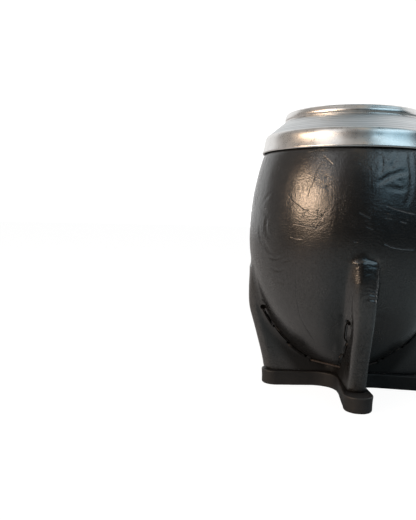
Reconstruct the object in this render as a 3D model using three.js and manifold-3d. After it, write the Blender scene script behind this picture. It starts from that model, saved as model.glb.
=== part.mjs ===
import * as THREE from 'three';
import { mergeVertices } from 'three/addons/utils/BufferGeometryUtils.js';
import Module from 'manifold-3d';

// A mate cup: a dried gourd in a moulded leather cover that is pinched into four sewn fins, on a cross-shaped
// leather sole, with a spun metal collar round its mouth. Millimetres, +Z up. The origin is on the ground
// below the gourd's axis, and the front fin points along -Y.

// Clearances
const SEAT_GAP = 0.3; // between pieces that are glued or pressed together
const MOULD_GAP = 0.5; // between the gourd and the leather moulded over it
const SKIRT_GAP = 0.25; // between the leather and the collar's lower edge
const POCKET_GAP = 0.5; // between a stiffener and the fold around it

// Sole
const SOLE_THICKNESS = 6.3;
const SOLE_EDGE_ROUND = 0.4;
const SOLE_WAIST_WIDTH = 8.8; // each arm where it leaves the middle
const SOLE_WAIST_OUT = 14; // distance of that waist from the axis
const SOLE_LOBE_WIDTH = 11.5; // round end of each arm

// Body of the cover: half an ellipse below the belly and half of a longer one above it
const BODY_LIFT = 3.2; // from the sole's top to the body's lowest point
const BELLY_RADIUS = 42;
const BODY_LOWER = 56;
const BODY_UPPER = 70.5;
const LEATHER = 2;
const COVER_RISE = 37.5; // from the belly up to the leather's top edge, hidden by the collar

// Fins: folds of the cover, one over each arm of the sole. Rises are measured from the sole's top.
const FIN_FOOT_REACH = 33.2;
const FIN_KNEE_REACH = 40.2;
const FIN_KNEE_RISE = 24.4; // the outer edge is straight from the foot up to here
const FIN_TOP_LEAN = -0.05; // slope of the outer edge where it runs into the body
const FIN_FADE = 0.9; // how fast the fold sinks into the body above its top
const FIN_FOOT_WIDTH = 7;
const FIN_TOP_WIDTH = 8.6;
const FIN_WIDTH_RISE = 50; // rise at which a fin has its top width
const FOLD_ROUND = 3.2; // corner radius of the fold
const ROOT_BLEND = 2; // reach of the crease between fin and body
const LOWEST_CREASE = 32; // degrees from a fin's middle to its crease where the body ends below
const LEGS = [
  { name: 'front', azimuth: -90, finTopRise: 50.5, soleReach: 40, soleTurn: 0 },
  { name: 'right', azimuth: 0, finTopRise: 47, soleReach: 37.5, soleTurn: -2.5 },
  { name: 'back', azimuth: 90, finTopRise: 47, soleReach: 37.5, soleTurn: 0 },
  { name: 'left', azimuth: 180, finTopRise: 44.5, soleReach: 35.2, soleTurn: 0 },
];

// Seams: one row of punched holes along the root of each fin
const THREAD = 0.7;
const THREAD_SPACING = 1.15; // between the two strands that share a hole
const THREAD_LIFT = 0.45; // from the leather up to a strand lying on it
const THREAD_BEND = 0.6;
const HOLE_CLEARANCE = 0.2;
const SEAM_OUT = 0.9; // from the body's surface to the row of holes
const SEAM_TOP_RISE = 27.6;
const STITCH = 9.6;
const STITCHES = 3;
const DRAW_STEP = 3; // from a row's last hole to the draw thread's hole
const DRAW_THREAD = 1.3;
const DRAW_OUT = 0.5; // from the row of holes down to the draw thread's hole

// Stiffeners inside the fins
const FILLER_AXIS_GAP = 6; // from the axis to a stiffener's inner end
const FILLER_TIP = 2; // width of its upper end

// Gourd
const GOURD_WALL = 5.5;
const RIM_DROP = 2.3; // from the head of the collar's neck down to the gourd's cut rim

// Collar, one spun sheet. Rises are measured from the belly.
const SHEET = 0.8;
const COLLAR_EDGE_RISE = 34;
const SKIRT_HEIGHT = 4.6;
const SKIRT_TAPER = 1;
const SHOULDER_HEIGHT = 2.5;
const SHOULDER_DEPTH = 1.3;
const NECK_HEIGHT = 5.8;
const MOUTH_RADIUS = 25.4;
const LIP_WIDTH = 3.2;
const LIP_HEIGHT = 3.8; // from the head of the neck to the top of the lip
const LIP_TUCK = 0.35; // groove between the neck and the lip's face
const LIP_CURL = 0.9; // height of the turn from that groove out to the face
const LIP_LEAN = 0.4; // how far the face leans in over its height
const LIP_CROWN = 1.1; // rounded top above the face
const SLEEVE_DEPTH = 14; // from the top of the lip down into the mouth

// Facets
const ROUND_STEPS = 44;
const BODY_COLUMNS = 3; // from a fin's crease to midway between two fins
const SIDE_COLUMNS = [0.5, 0.12, 0]; // along a fin's side, as shares from its crease to its fold
const SHORTEST_SIDE = 0.7; // side that is kept where a fold sinks into the body
const OUTER_STEP = 7.5; // degrees of the body's curve between rings
const INNER_STEP = 10;
const GOURD_STEP = 15;
const GOURD_UPPER_STEPS = 4;
const THREAD_SIDES = 6;
const HOLE_SIDES = 10;

const DEGREE = Math.PI / 180;
const bellyHeight = SOLE_THICKNESS + BODY_LIFT + BODY_LOWER;
const coverFoot = SOLE_THICKNESS + SEAT_GAP;
const coverTop = bellyHeight + COVER_RISE;
const collarEdge = bellyHeight + COLLAR_EDGE_RISE;
const neckHead = collarEdge + SKIRT_HEIGHT + SHOULDER_HEIGHT + NECK_HEIGHT;
const lipTop = neckHead + LIP_HEIGHT;
const holeRadius = THREAD_SPACING / 2 + THREAD / 2 + HOLE_CLEARANCE;

const wasm = await Module();
wasm.setup();

// Radius of the body at a height, drawn in by an inset. Past the ends of the ellipse it is negative.
function bodyRadius(z, inset = 0) {
  const half = (z < bellyHeight ? BODY_LOWER : BODY_UPPER) - inset;
  const share = (z - bellyHeight) / half;
  if (Math.abs(share) >= 1) return -BELLY_RADIUS;
  return (BELLY_RADIUS - inset) * Math.sqrt(1 - share * share);
}

// How far a fin's outer edge is from the axis: a straight taper to the knee, then a curve into the body.
function finReach(leg, z) {
  const knee = SOLE_THICKNESS + FIN_KNEE_RISE;
  const top = SOLE_THICKNESS + leg.finTopRise;
  const taper = (FIN_KNEE_REACH - FIN_FOOT_REACH) / FIN_KNEE_RISE;
  if (z <= knee) return FIN_FOOT_REACH + taper * (z - SOLE_THICKNESS);
  if (z >= top) return bodyRadius(top) - FIN_FADE * (z - top);
  const third = (top - knee) / 3;
  const edge = new THREE.CubicBezierCurve(
    new THREE.Vector2(FIN_KNEE_REACH, knee),
    new THREE.Vector2(FIN_KNEE_REACH + taper * third, knee + third),
    new THREE.Vector2(bodyRadius(top) - FIN_TOP_LEAN * third, top - third),
    new THREE.Vector2(bodyRadius(top), top),
  );
  return edge.getPoint((z - knee) / (top - knee)).x;
}

function finHalfWidth(z) {
  const share = Math.min(1, (z - SOLE_THICKNESS) / FIN_WIDTH_RISE);
  return THREE.MathUtils.lerp(FIN_FOOT_WIDTH, FIN_TOP_WIDTH, share) / 2;
}

// Signed distance, in a level section, from a point to a fin that runs out from the axis to a rounded fold.
function finDistance(leg, out, side, z, inset) {
  const reach = finReach(leg, z) - inset;
  const half = finHalfWidth(z) - inset;
  const round = Math.min(FOLD_ROUND, half);
  const past = Math.abs(out - reach / 2) - reach / 2 + round;
  const beside = Math.abs(side) - half + round;
  return Math.hypot(Math.max(past, 0), Math.max(beside, 0)) + Math.min(Math.max(past, beside), 0) - round;
}

// The smaller of two distances, with the corner between them rounded.
function blend(a, b) {
  const overlap = Math.max(ROOT_BLEND - Math.abs(a - b), 0) / ROOT_BLEND;
  return Math.min(a, b) - (overlap * overlap * ROOT_BLEND) / 4;
}

// Signed distance, in a level section, from a point to the body with its four fins.
function coverDistance(x, y, z, inset) {
  let distance = Math.hypot(x, y) - bodyRadius(z, inset);
  for (const leg of LEGS) {
    const cos = Math.cos(leg.azimuth * DEGREE);
    const sin = Math.sin(leg.azimuth * DEGREE);
    distance = blend(distance, finDistance(leg, x * cos + y * sin, y * cos - x * sin, z, inset));
  }
  return distance;
}

// Where a function of one number turns from negative to positive.
function crossing(test, low, high) {
  for (let step = 0; step < 40; step += 1) {
    const middle = (low + high) / 2;
    if (test(middle) < 0) low = middle;
    else high = middle;
  }
  return high;
}

// A closed skin over rings of equal length. The last ring joins the first.
function skinRings(rings) {
  const columns = rings[0].length;
  const positions = rings.flat().flatMap((point) => point.toArray());
  const indices = [];
  for (let row = 0; row < rings.length; row += 1) {
    const above = (row + 1) % rings.length;
    for (let column = 0; column < columns; column += 1) {
      const next = (column + 1) % columns;
      const a = row * columns + column;
      const b = row * columns + next;
      const c = above * columns + next;
      const d = above * columns + column;
      indices.push(a, b, c, a, c, d);
    }
  }
  return indexedGeometry(positions, indices);
}

function indexedGeometry(positions, indices) {
  const geometry = new THREE.BufferGeometry();
  geometry.setAttribute('position', new THREE.Float32BufferAttribute(positions, 3));
  geometry.setIndex(indices);
  return geometry;
}

// A round cord along points, with flat ends.
function cord(points, diameter) {
  const positions = [];
  const indices = [];
  const normal = new THREE.Vector3();
  points.forEach((point, step) => {
    const before = points[Math.max(step - 1, 0)];
    const after = points[Math.min(step + 1, points.length - 1)];
    const along = after.clone().sub(before).normalize();
    if (step === 0) normal.set(along.y, along.z, along.x);
    normal.addScaledVector(along, -normal.dot(along)).normalize();
    const across = along.clone().cross(normal);
    for (let corner = 0; corner < THREAD_SIDES; corner += 1) {
      const angle = (corner / THREAD_SIDES) * 2 * Math.PI;
      const rim = point.clone();
      rim.addScaledVector(normal, (Math.cos(angle) * diameter) / 2);
      rim.addScaledVector(across, (Math.sin(angle) * diameter) / 2);
      positions.push(...rim.toArray());
    }
    for (let corner = 0; step > 0 && corner < THREAD_SIDES; corner += 1) {
      const next = (corner + 1) % THREAD_SIDES;
      const low = (step - 1) * THREAD_SIDES;
      const high = step * THREAD_SIDES;
      indices.push(low + corner, low + next, high + next, low + corner, high + next, high + corner);
    }
  });
  const last = (points.length - 1) * THREAD_SIDES;
  for (let corner = 1; corner + 1 < THREAD_SIDES; corner += 1) {
    indices.push(0, corner + 1, corner, last, last + corner, last + corner + 1);
  }
  return indexedGeometry(positions, indices);
}

// A profile of (radius, height) points turned about the Z axis.
function turned(profile) {
  return new THREE.LatheGeometry(profile, ROUND_STEPS).rotateX(Math.PI / 2);
}

function toSolid(geometry) {
  const bare = geometry.clone();
  bare.deleteAttribute('normal');
  bare.deleteAttribute('uv');
  const merged = mergeVertices(bare, 1e-5);
  return new wasm.Manifold(
    new wasm.Mesh({
      numProp: 3,
      vertProperties: new Float32Array(merged.attributes.position.array),
      triVerts: new Uint32Array(merged.index.array),
    }),
  );
}

function toGeometry(solid) {
  const mesh = solid.getMesh();
  return indexedGeometry(Array.from(mesh.vertProperties), Array.from(mesh.triVerts));
}

// Seam of a fin in the fin's own plane, as distance out and height, from its top hole down to the axis.
const seamTopAngle = Math.asin((SOLE_THICKNESS + SEAM_TOP_RISE - bellyHeight) / (BODY_LOWER + SEAM_OUT));
const seamCurve = new THREE.EllipseCurve(
  0,
  bellyHeight,
  BELLY_RADIUS + SEAM_OUT,
  BODY_LOWER + SEAM_OUT,
  seamTopAngle,
  -Math.PI / 2,
  true,
);

// A point of the seam, in the fin's own frame: X out, Y to its side, Z up.
function seamPoint(distance, outward = 0) {
  const share = distance / seamCurve.getLength();
  const along = seamCurve.getTangentAt(share);
  const point = seamCurve.getPointAt(share);
  return new THREE.Vector3(point.x - along.y * outward, 0, point.y + along.x * outward);
}

function turnToLeg(point, leg) {
  return point.clone().applyAxisAngle(new THREE.Vector3(0, 0, 1), leg.azimuth * DEGREE);
}

// How far to the side of a fin's middle a thread lies when it rests on the leather.
function threadSide(leg, point, diameter = THREAD) {
  const surface = crossing(
    (side) => {
      const place = turnToLeg(new THREE.Vector3(point.x, side, point.z), leg);
      return coverDistance(place.x, place.y, place.z, 0);
    },
    0,
    BELLY_RADIUS,
  );
  return surface + THREAD_LIFT + diameter / 2;
}

function onFace(leg, distance, outward, face) {
  const point = seamPoint(distance, outward);
  return point.setY(face * threadSide(leg, point));
}

// A seam's thread runs down through all holes, changing sides at each, and comes back up on the other faces.
function seamRoute(leg) {
  const half = THREAD_SPACING / 2;
  const route = [seamPoint(0, half)];
  let face = 1;
  for (let visit = 0; visit < 2 * STITCHES; visit += 1) {
    const down = visit < STITCHES;
    const heading = down ? 1 : -1;
    const outward = down ? half : -half;
    const from = (down ? visit : 2 * STITCHES - visit) * STITCH;
    const to = from + heading * STITCH;
    const leave = onFace(leg, from, outward, face);
    const arrive = onFace(leg, to, outward, face);
    route.push(leave.clone().setY(leave.y - face * THREAD_BEND));
    route.push(onFace(leg, from + heading * THREAD_BEND, outward, face));
    route.push(onFace(leg, (from + to) / 2, outward, face));
    route.push(onFace(leg, to - heading * THREAD_BEND, outward, face));
    route.push(arrive.clone().setY(arrive.y - face * THREAD_BEND));
    face = -face;
  }
  route.push(seamPoint(0, -half));
  return route;
}

// The draw thread passes through one hole in each fin. Its two ends meet inside the back fin.
function drawRoute() {
  const hole = seamPoint(STITCHES * STITCH + DRAW_STEP, DRAW_OUT);
  const ring = [...LEGS].sort((a, b) => a.azimuth - b.azimuth);
  const start = ring.findIndex((leg) => leg.name === 'back');
  const route = [];
  for (let step = 0; step <= ring.length; step += 1) {
    const leg = ring[(start + step) % ring.length];
    const side = threadSide(leg, hole, DRAW_THREAD);
    const enter = step === 0 ? DRAW_THREAD / 2 : -side;
    const leave = step === ring.length ? -DRAW_THREAD / 2 : side;
    route.push(turnToLeg(hole.clone().setY(enter), leg), turnToLeg(hole.clone().setY(leave), leg));
  }
  return route;
}

function stitchHoles(leg) {
  const places = [seamPoint(STITCHES * STITCH + DRAW_STEP, DRAW_OUT)];
  for (let hole = 0; hole <= STITCHES; hole += 1) places.push(seamPoint(hole * STITCH));
  return places.map((place) => {
    const pin = new THREE.CylinderGeometry(holeRadius, holeRadius, 2 * FIN_TOP_WIDTH, HOLE_SIDES);
    return toSolid(pin.translate(place.x, place.y, place.z).rotateZ(leg.azimuth * DEGREE));
  });
}

// Heights of the cover's rings: two below the body, then evenly round the body's curve.
function coverLevels(inset, step) {
  const lower = BODY_LOWER - inset;
  const upper = BODY_UPPER - inset;
  const levels = [coverFoot, (coverFoot + bellyHeight - lower) / 2];
  for (let angle = step; angle <= 90; angle += step) {
    levels.push(bellyHeight - lower * Math.cos(angle * DEGREE));
  }
  const topAngle = Math.asin(COVER_RISE / upper) / DEGREE;
  const risers = Math.ceil(topAngle / step);
  for (let riser = 1; riser < risers; riser += 1) {
    levels.push(bellyHeight + upper * Math.sin((riser / risers) * topAngle * DEGREE));
  }
  return [...levels, coverTop];
}

// Angles from a fin's middle to midway between two fins: round the fold, along its side, then over the body.
function columnAngles(leg, z, inset) {
  const half = finHalfWidth(z) - inset;
  const round = Math.min(FOLD_ROUND, half);
  const radius = Math.max(bodyRadius(z, inset), half / Math.sin(LOWEST_CREASE * DEGREE));
  const crease = Math.sqrt(radius ** 2 - half ** 2);
  const fold = Math.max(finReach(leg, z) - inset - round, crease + SHORTEST_SIDE);
  const between = (share) => THREE.MathUtils.lerp(crease, fold, share);
  const corners = [
    [fold + round, half - round],
    [fold + round * Math.SQRT1_2, half - round * (1 - Math.SQRT1_2)],
    [fold, half],
    ...SIDE_COLUMNS.map((share) => [between(share), half]),
  ];
  const angles = [0, ...corners.map(([out, side]) => Math.atan2(side, out))];
  const start = Math.atan2(half, crease);
  const rest = Math.PI / 4 - start;
  const first = Math.min(ROOT_BLEND / 2 / radius, rest / 2);
  for (let column = 0; column <= BODY_COLUMNS; column += 1) {
    angles.push(start + THREE.MathUtils.lerp(first, rest, column / BODY_COLUMNS));
  }
  return angles;
}

function coverRing(z, inset) {
  return LEGS.flatMap((leg) => {
    const angles = columnAngles(leg, z, inset);
    const both = [...angles.slice(1).reverse().map((angle) => -angle), ...angles.slice(0, -1)];
    return both.map((angle) => {
      const cos = Math.cos(leg.azimuth * DEGREE + angle);
      const sin = Math.sin(leg.azimuth * DEGREE + angle);
      const radius = crossing((r) => coverDistance(r * cos, r * sin, z, inset), 0, 2 * BELLY_RADIUS);
      return new THREE.Vector3(radius * cos, radius * sin, z);
    });
  });
}

function leatherCover() {
  const outer = coverLevels(0, OUTER_STEP).map((z) => coverRing(z, 0));
  const inner = coverLevels(LEATHER, INNER_STEP).map((z) => coverRing(z, LEATHER));
  const skin = toSolid(skinRings([...outer, ...inner.reverse()]));
  return toGeometry(LEGS.flatMap(stitchHoles).reduce((solid, pin) => solid.subtract(pin), skin));
}

// A stiffener that fills the lower part of a fin, outside the row of stitches.
function finFiller(leg) {
  const clear = SEAM_OUT + holeRadius + SEAT_GAP;
  const inner = { x: BELLY_RADIUS + clear, z: BODY_LOWER + clear };
  const pocketHalf = (z) => finHalfWidth(z) - LEATHER;
  const outerEdge = (z) => {
    const round = Math.min(FOLD_ROUND, pocketHalf(z));
    const corner = Math.sqrt(round ** 2 - (round - POCKET_GAP) ** 2);
    return finReach(leg, z) - LEATHER - round + corner - POCKET_GAP;
  };
  const innerEdge = (z) => inner.x * Math.sqrt(1 - ((bellyHeight - z) / inner.z) ** 2);
  const knee = SOLE_THICKNESS + FIN_KNEE_RISE;
  const lowest = bellyHeight - inner.z * Math.sqrt(1 - (FILLER_AXIS_GAP / inner.x) ** 2);
  const tip = crossing((z) => FILLER_TIP - outerEdge(z) + innerEdge(z), lowest, bellyHeight);
  const outline = new THREE.Shape();
  outline.moveTo(FILLER_AXIS_GAP, coverFoot);
  outline.lineTo(outerEdge(coverFoot), coverFoot);
  if (tip > knee) outline.lineTo(outerEdge(knee), knee);
  outline.lineTo(outerEdge(tip), tip);
  const tipAngle = Math.asin((tip - bellyHeight) / inner.z);
  const lowAngle = Math.asin((lowest - bellyHeight) / inner.z);
  outline.absellipse(0, bellyHeight, inner.x, inner.z, tipAngle, lowAngle, true);
  const plate = new THREE.ExtrudeGeometry(outline, { depth: 2, bevelEnabled: false, curveSegments: 8 });
  plate.translate(0, 0, -1).rotateX(Math.PI / 2);
  const position = plate.attributes.position;
  for (let corner = 0; corner < position.count; corner += 1) {
    const half = pocketHalf(position.getZ(corner)) - POCKET_GAP;
    position.setY(corner, position.getY(corner) * half);
  }
  return plate;
}

// Neck of the collar: a straight cone between the shoulder and the lip.
const collarEdgeRadius = bodyRadius(collarEdge) + SKIRT_GAP + SHEET;
const neckFootRadius = collarEdgeRadius - SKIRT_TAPER - SHOULDER_DEPTH;
const neckHeadRadius = MOUTH_RADIUS + LIP_WIDTH;

function neckInside(z) {
  const lean = (neckFootRadius - neckHeadRadius) / NECK_HEIGHT;
  return neckHeadRadius + lean * (neckHead - z) - SHEET * Math.hypot(1, lean);
}

// The same line moved to its left by a distance, with mitred corners.
function offsetLine(points, distance) {
  return points.map((point, index) => {
    const before = points[Math.max(index - 1, 0)];
    const after = points[Math.min(index + 1, points.length - 1)];
    const into = index > 0 ? point.clone().sub(before) : after.clone().sub(point);
    const out = after === point ? into.clone() : after.clone().sub(point);
    const left = (line) => new THREE.Vector2(-line.y, line.x).normalize();
    const miter = left(into).add(left(out)).normalize();
    return point.clone().addScaledVector(miter, distance / miter.dot(left(into)));
  });
}

function collar() {
  const skirtTop = collarEdge + SKIRT_HEIGHT;
  const skirtRadius = collarEdgeRadius - SKIRT_TAPER;
  const shoulderTop = skirtTop + SHOULDER_HEIGHT;
  const faceTop = lipTop - LIP_CROWN;
  const crown = (LIP_WIDTH - LIP_LEAN) / 2;
  const skirtBulge = skirtRadius + SKIRT_TAPER / 4;
  const outside = new THREE.Path();
  outside.moveTo(collarEdgeRadius, collarEdge);
  outside.quadraticCurveTo(skirtBulge, collarEdge + SKIRT_HEIGHT / 2, skirtRadius, skirtTop);
  outside.quadraticCurveTo(skirtRadius - SHOULDER_DEPTH / 4, shoulderTop, neckFootRadius, shoulderTop);
  outside.lineTo(neckHeadRadius, neckHead);
  outside.lineTo(neckHeadRadius - LIP_TUCK, neckHead + LIP_TUCK);
  outside.lineTo(neckHeadRadius, neckHead + LIP_CURL);
  outside.lineTo(neckHeadRadius - LIP_LEAN, faceTop);
  outside.absellipse(MOUTH_RADIUS + crown, faceTop, crown, LIP_CROWN, 0, Math.PI, false);
  outside.lineTo(MOUTH_RADIUS, lipTop - SLEEVE_DEPTH);
  const sheet = outside.getPoints(3);
  const profile = [...sheet, ...offsetLine(sheet, SHEET).reverse()];
  return turned([...profile, profile[0]]);
}

// The gourd follows the inside of the leather, and its cut rim sits under the collar's neck.
function gourdShell() {
  const inset = LEATHER + MOULD_GAP;
  const rim = neckHead - RIM_DROP;
  const bore = MOUTH_RADIUS + SHEET + SEAT_GAP;
  const outside = (z) => Math.min(bodyRadius(z, inset), neckInside(z) - SEAT_GAP);
  const inside = (z) => Math.max(bodyRadius(z, inset + GOURD_WALL), bore);
  const bowl = (drawn) => {
    const points = [];
    for (let angle = 0; angle <= 90; angle += GOURD_STEP) {
      const across = (BELLY_RADIUS - drawn) * Math.sin(angle * DEGREE);
      const below = (BODY_LOWER - drawn) * Math.cos(angle * DEGREE);
      points.push(new THREE.Vector2(across, bellyHeight - below));
    }
    return points;
  };
  const lower = bowl(inset);
  const hollow = bowl(inset + GOURD_WALL);
  const heights = [];
  for (let step = 1; step <= GOURD_UPPER_STEPS; step += 1) {
    heights.push(THREE.MathUtils.lerp(bellyHeight, rim, step / GOURD_UPPER_STEPS));
  }
  const upper = heights.map((z) => new THREE.Vector2(outside(z), z));
  const throat = heights.map((z) => new THREE.Vector2(inside(z), z));
  return turned([...lower, ...upper, ...throat.reverse(), ...hollow.reverse()]);
}

// A cross with one rounded arm for each fin, its inner corners drawn in to a waist.
function sole() {
  const lobe = SOLE_LOBE_WIDTH / 2;
  const waist = SOLE_WAIST_WIDTH / 2;
  const outline = new THREE.Shape();
  LEGS.forEach((leg, index) => {
    const angle = (leg.azimuth + leg.soleTurn) * DEGREE;
    const place = (out, side) => new THREE.Vector2(out, side).rotateAround(new THREE.Vector2(), angle);
    const start = place(SOLE_WAIST_OUT, -waist);
    const lobeStart = place(leg.soleReach - lobe, -lobe);
    const centre = place(leg.soleReach - lobe, 0);
    const corner = place(waist, -waist);
    if (index === 0) outline.moveTo(start.x, start.y);
    else outline.quadraticCurveTo(corner.x, corner.y, start.x, start.y);
    outline.lineTo(lobeStart.x, lobeStart.y);
    outline.absarc(centre.x, centre.y, lobe, angle - Math.PI / 2, angle + Math.PI / 2, false);
    const end = place(SOLE_WAIST_OUT, waist);
    outline.lineTo(end.x, end.y);
    if (index === LEGS.length - 1) {
      const last = place(waist, waist);
      const first = outline.curves[0].getPoint(0);
      outline.quadraticCurveTo(last.x, last.y, first.x, first.y);
    }
  });
  return new THREE.ExtrudeGeometry(outline, {
    depth: SOLE_THICKNESS - 2 * SOLE_EDGE_ROUND,
    bevelThickness: SOLE_EDGE_ROUND,
    bevelSize: SOLE_EDGE_ROUND,
    bevelOffset: -SOLE_EDGE_ROUND,
    bevelSegments: 1,
    curveSegments: 6,
  }).translate(0, 0, SOLE_EDGE_ROUND);
}

const FINISHES = {
  gourd: { color: 0x9c7a4b, roughness: 0.75, metalness: 0 },
  leather: { color: 0x191716, roughness: 0.4, metalness: 0 },
  filler: { color: 0x5b4733, roughness: 0.8, metalness: 0 },
  thread: { color: 0x2b211b, roughness: 0.7, metalness: 0 },
  metal: { color: 0xc8cacb, roughness: 0.3, metalness: 1 },
  sole: { color: 0x2c2724, roughness: 0.75, metalness: 0 },
};

function piece(name, geometry, finish) {
  const mesh = new THREE.Mesh(geometry, new THREE.MeshStandardMaterial(FINISHES[finish]));
  mesh.name = name;
  return mesh;
}

const cup = new THREE.Group();
cup.add(piece('gourd_shell', gourdShell(), 'gourd'));
cup.add(piece('leather_cover', leatherCover(), 'leather'));
cup.add(piece('collar', collar(), 'metal'));
cup.add(piece('sole', sole(), 'sole'));
cup.add(piece('draw_thread', cord(drawRoute(), DRAW_THREAD), 'thread'));
for (const leg of LEGS) {
  const fin = new THREE.Group();
  fin.rotation.z = leg.azimuth * DEGREE;
  fin.add(piece(`fin_filler_${leg.name}`, finFiller(leg), 'filler'));
  fin.add(piece(`seam_thread_${leg.name}`, cord(seamRoute(leg), THREAD), 'thread'));
  cup.add(fin);
}

export default cup;
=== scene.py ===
import math
from collections import namedtuple

import bmesh
import bpy
import numpy as np
from mathutils import Matrix, Vector


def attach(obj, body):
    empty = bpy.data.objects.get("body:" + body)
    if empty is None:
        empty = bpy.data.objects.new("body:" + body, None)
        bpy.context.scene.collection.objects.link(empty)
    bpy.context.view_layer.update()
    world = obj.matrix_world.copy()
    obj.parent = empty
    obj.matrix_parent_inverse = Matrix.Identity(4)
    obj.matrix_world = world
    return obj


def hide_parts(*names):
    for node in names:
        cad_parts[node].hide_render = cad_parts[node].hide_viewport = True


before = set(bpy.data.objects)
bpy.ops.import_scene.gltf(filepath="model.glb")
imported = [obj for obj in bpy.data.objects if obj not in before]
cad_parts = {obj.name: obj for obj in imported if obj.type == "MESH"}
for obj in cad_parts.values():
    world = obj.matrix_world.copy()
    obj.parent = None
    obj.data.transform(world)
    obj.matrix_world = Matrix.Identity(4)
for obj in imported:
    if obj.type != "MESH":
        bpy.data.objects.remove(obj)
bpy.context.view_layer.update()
scene = bpy.context.scene

MM = 0.001
DEGREE = math.pi / 180

# Sizes of the cup, in millimetres. The front fin points along -Y.
SOLE_THICKNESS = 6.3
SOLE_WAIST_WIDTH = 8.8
SOLE_WAIST_OUT = 14.0
SOLE_LOBE_WIDTH = 11.5
BODY_LIFT = 3.2
BELLY_RADIUS = 42.0
BODY_LOWER = 56.0
BODY_UPPER = 70.5
BELLY_HEIGHT = SOLE_THICKNESS + BODY_LIFT + BODY_LOWER
LEATHER = 2.0
COVER_FOOT = SOLE_THICKNESS + 0.3
COVER_TOP = BELLY_HEIGHT + 37.5
FIN_FOOT_REACH = 33.2
FIN_KNEE_REACH = 40.2
FIN_KNEE_RISE = 24.4
FIN_TOP_LEAN = -0.05
FIN_FADE = 0.9
FIN_FOOT_WIDTH = 7.0
FIN_TOP_WIDTH = 8.6
FIN_WIDTH_RISE = 50.0
FOLD_ROUND = 3.2
THREAD = 0.48
THREAD_SPACING = 1.15
THREAD_LIFT = -0.3
THREAD_DIP = 1.1
THREAD_TWIST = 2.2
SEAM_OUT = 0.9
SEAM_TOP_RISE = 27.6
STITCH = 9.6
STITCHES = 3
DRAW_STEP = 3.0
DRAW_THREAD = 0.95
DRAW_TWIST = 4.5
DRAW_OUT = 0.5
DRAW_SINK = 0.3
HOLE_RADII = (1.1, 0.6, 0.75, 0.65)
DRAW_HOLE_RADIUS = 0.8
HOLE_DEPTH = 1.35
SLIT = 0.45
GOURD_INSET = LEATHER + 0.5
GOURD_WALL = 5.5
GOURD_GAP = 0.3
RIM_DROP = 2.3
SHEET = 0.8
COLLAR_EDGE = BELLY_HEIGHT + 34.0
SKIRT_GAP = 0.25
SKIRT_HEIGHT = 4.6
SKIRT_TAPER = 1.0
SHOULDER_HEIGHT = 2.5
SHOULDER_DEPTH = 1.3
NECK_HEIGHT = 5.8
MOUTH_RADIUS = 25.4
LIP_WIDTH = 3.2
LIP_HEIGHT = 3.8
LIP_TUCK = 0.35
LIP_CURL = 0.9
LIP_LEAN = 0.4
LIP_CROWN = 1.1
SLEEVE_DEPTH = 14.0
SKIRT_TOP = COLLAR_EDGE + SKIRT_HEIGHT
SHOULDER_TOP = SKIRT_TOP + SHOULDER_HEIGHT
NECK_TOP = SHOULDER_TOP + NECK_HEIGHT
LIP_TOP = NECK_TOP + LIP_HEIGHT
NECK_RADIUS = MOUTH_RADIUS + LIP_WIDTH

# The fins and the sole's arms, in order round the cup. A tight fin is sharply creased on its right.
Leg = namedtuple("Leg", "name azimuth fin_top sole_reach sole_turn tight wrinkles")
LEGS = [
    Leg("front", -90, 50.5, 40.0, 0.0, 1, 1.0),
    Leg("right", 0, 47.0, 37.5, -2.5, 1, 0.6),
    Leg("back", 90, 47.0, 37.5, 0.0, 1, 0.6),
    Leg("left", 180, 44.5, 35.2, 0.0, 0, 0.2),
]

# How a fin runs into the body: reach of the blend low down, near the fin's top and in a sharp crease
ROOT_BLEND = 5.5
TOP_BLEND = 4.5
TIGHT_BLEND = 1.4
TIGHT_SPREAD = 1.5
TOP_BLEND_START = 22.0
TOP_BLEND_LENGTH = 18.0
INNER_BLEND_FALL = 4.0

# Columns of the leather's mesh on half a fold's front, round its edge, along its side and over the body
FOLD_COLUMNS = 6
ROUND_COLUMNS = 8
SIDE_COLUMNS = 17
BODY_COLUMNS = 31

# Widest angle from a fin's middle to the crease beside it, reached at the foot
LOWEST_CREASE = 32 * DEGREE


# Node trees

class Wire:
    """One output socket. Arithmetic between wires and numbers adds Math nodes."""

    def __init__(self, tree, socket):
        self.tree = tree
        self.socket = socket

    def of(self, operation, *others):
        return self.tree.math(operation, self, *others)

    def __add__(self, other):
        return self.of("ADD", other)

    def __sub__(self, other):
        return self.of("SUBTRACT", other)

    def __rsub__(self, other):
        return self.tree.math("SUBTRACT", other, self)

    def __mul__(self, other):
        return self.of("MULTIPLY", other)

    def __truediv__(self, other):
        return self.of("DIVIDE", other)

    __radd__ = __add__
    __rmul__ = __mul__

    def most(self, other):
        return self.of("MAXIMUM", other)

    def also(self, name):
        return Wire(self.tree, self.socket.node.outputs[name])


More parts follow.
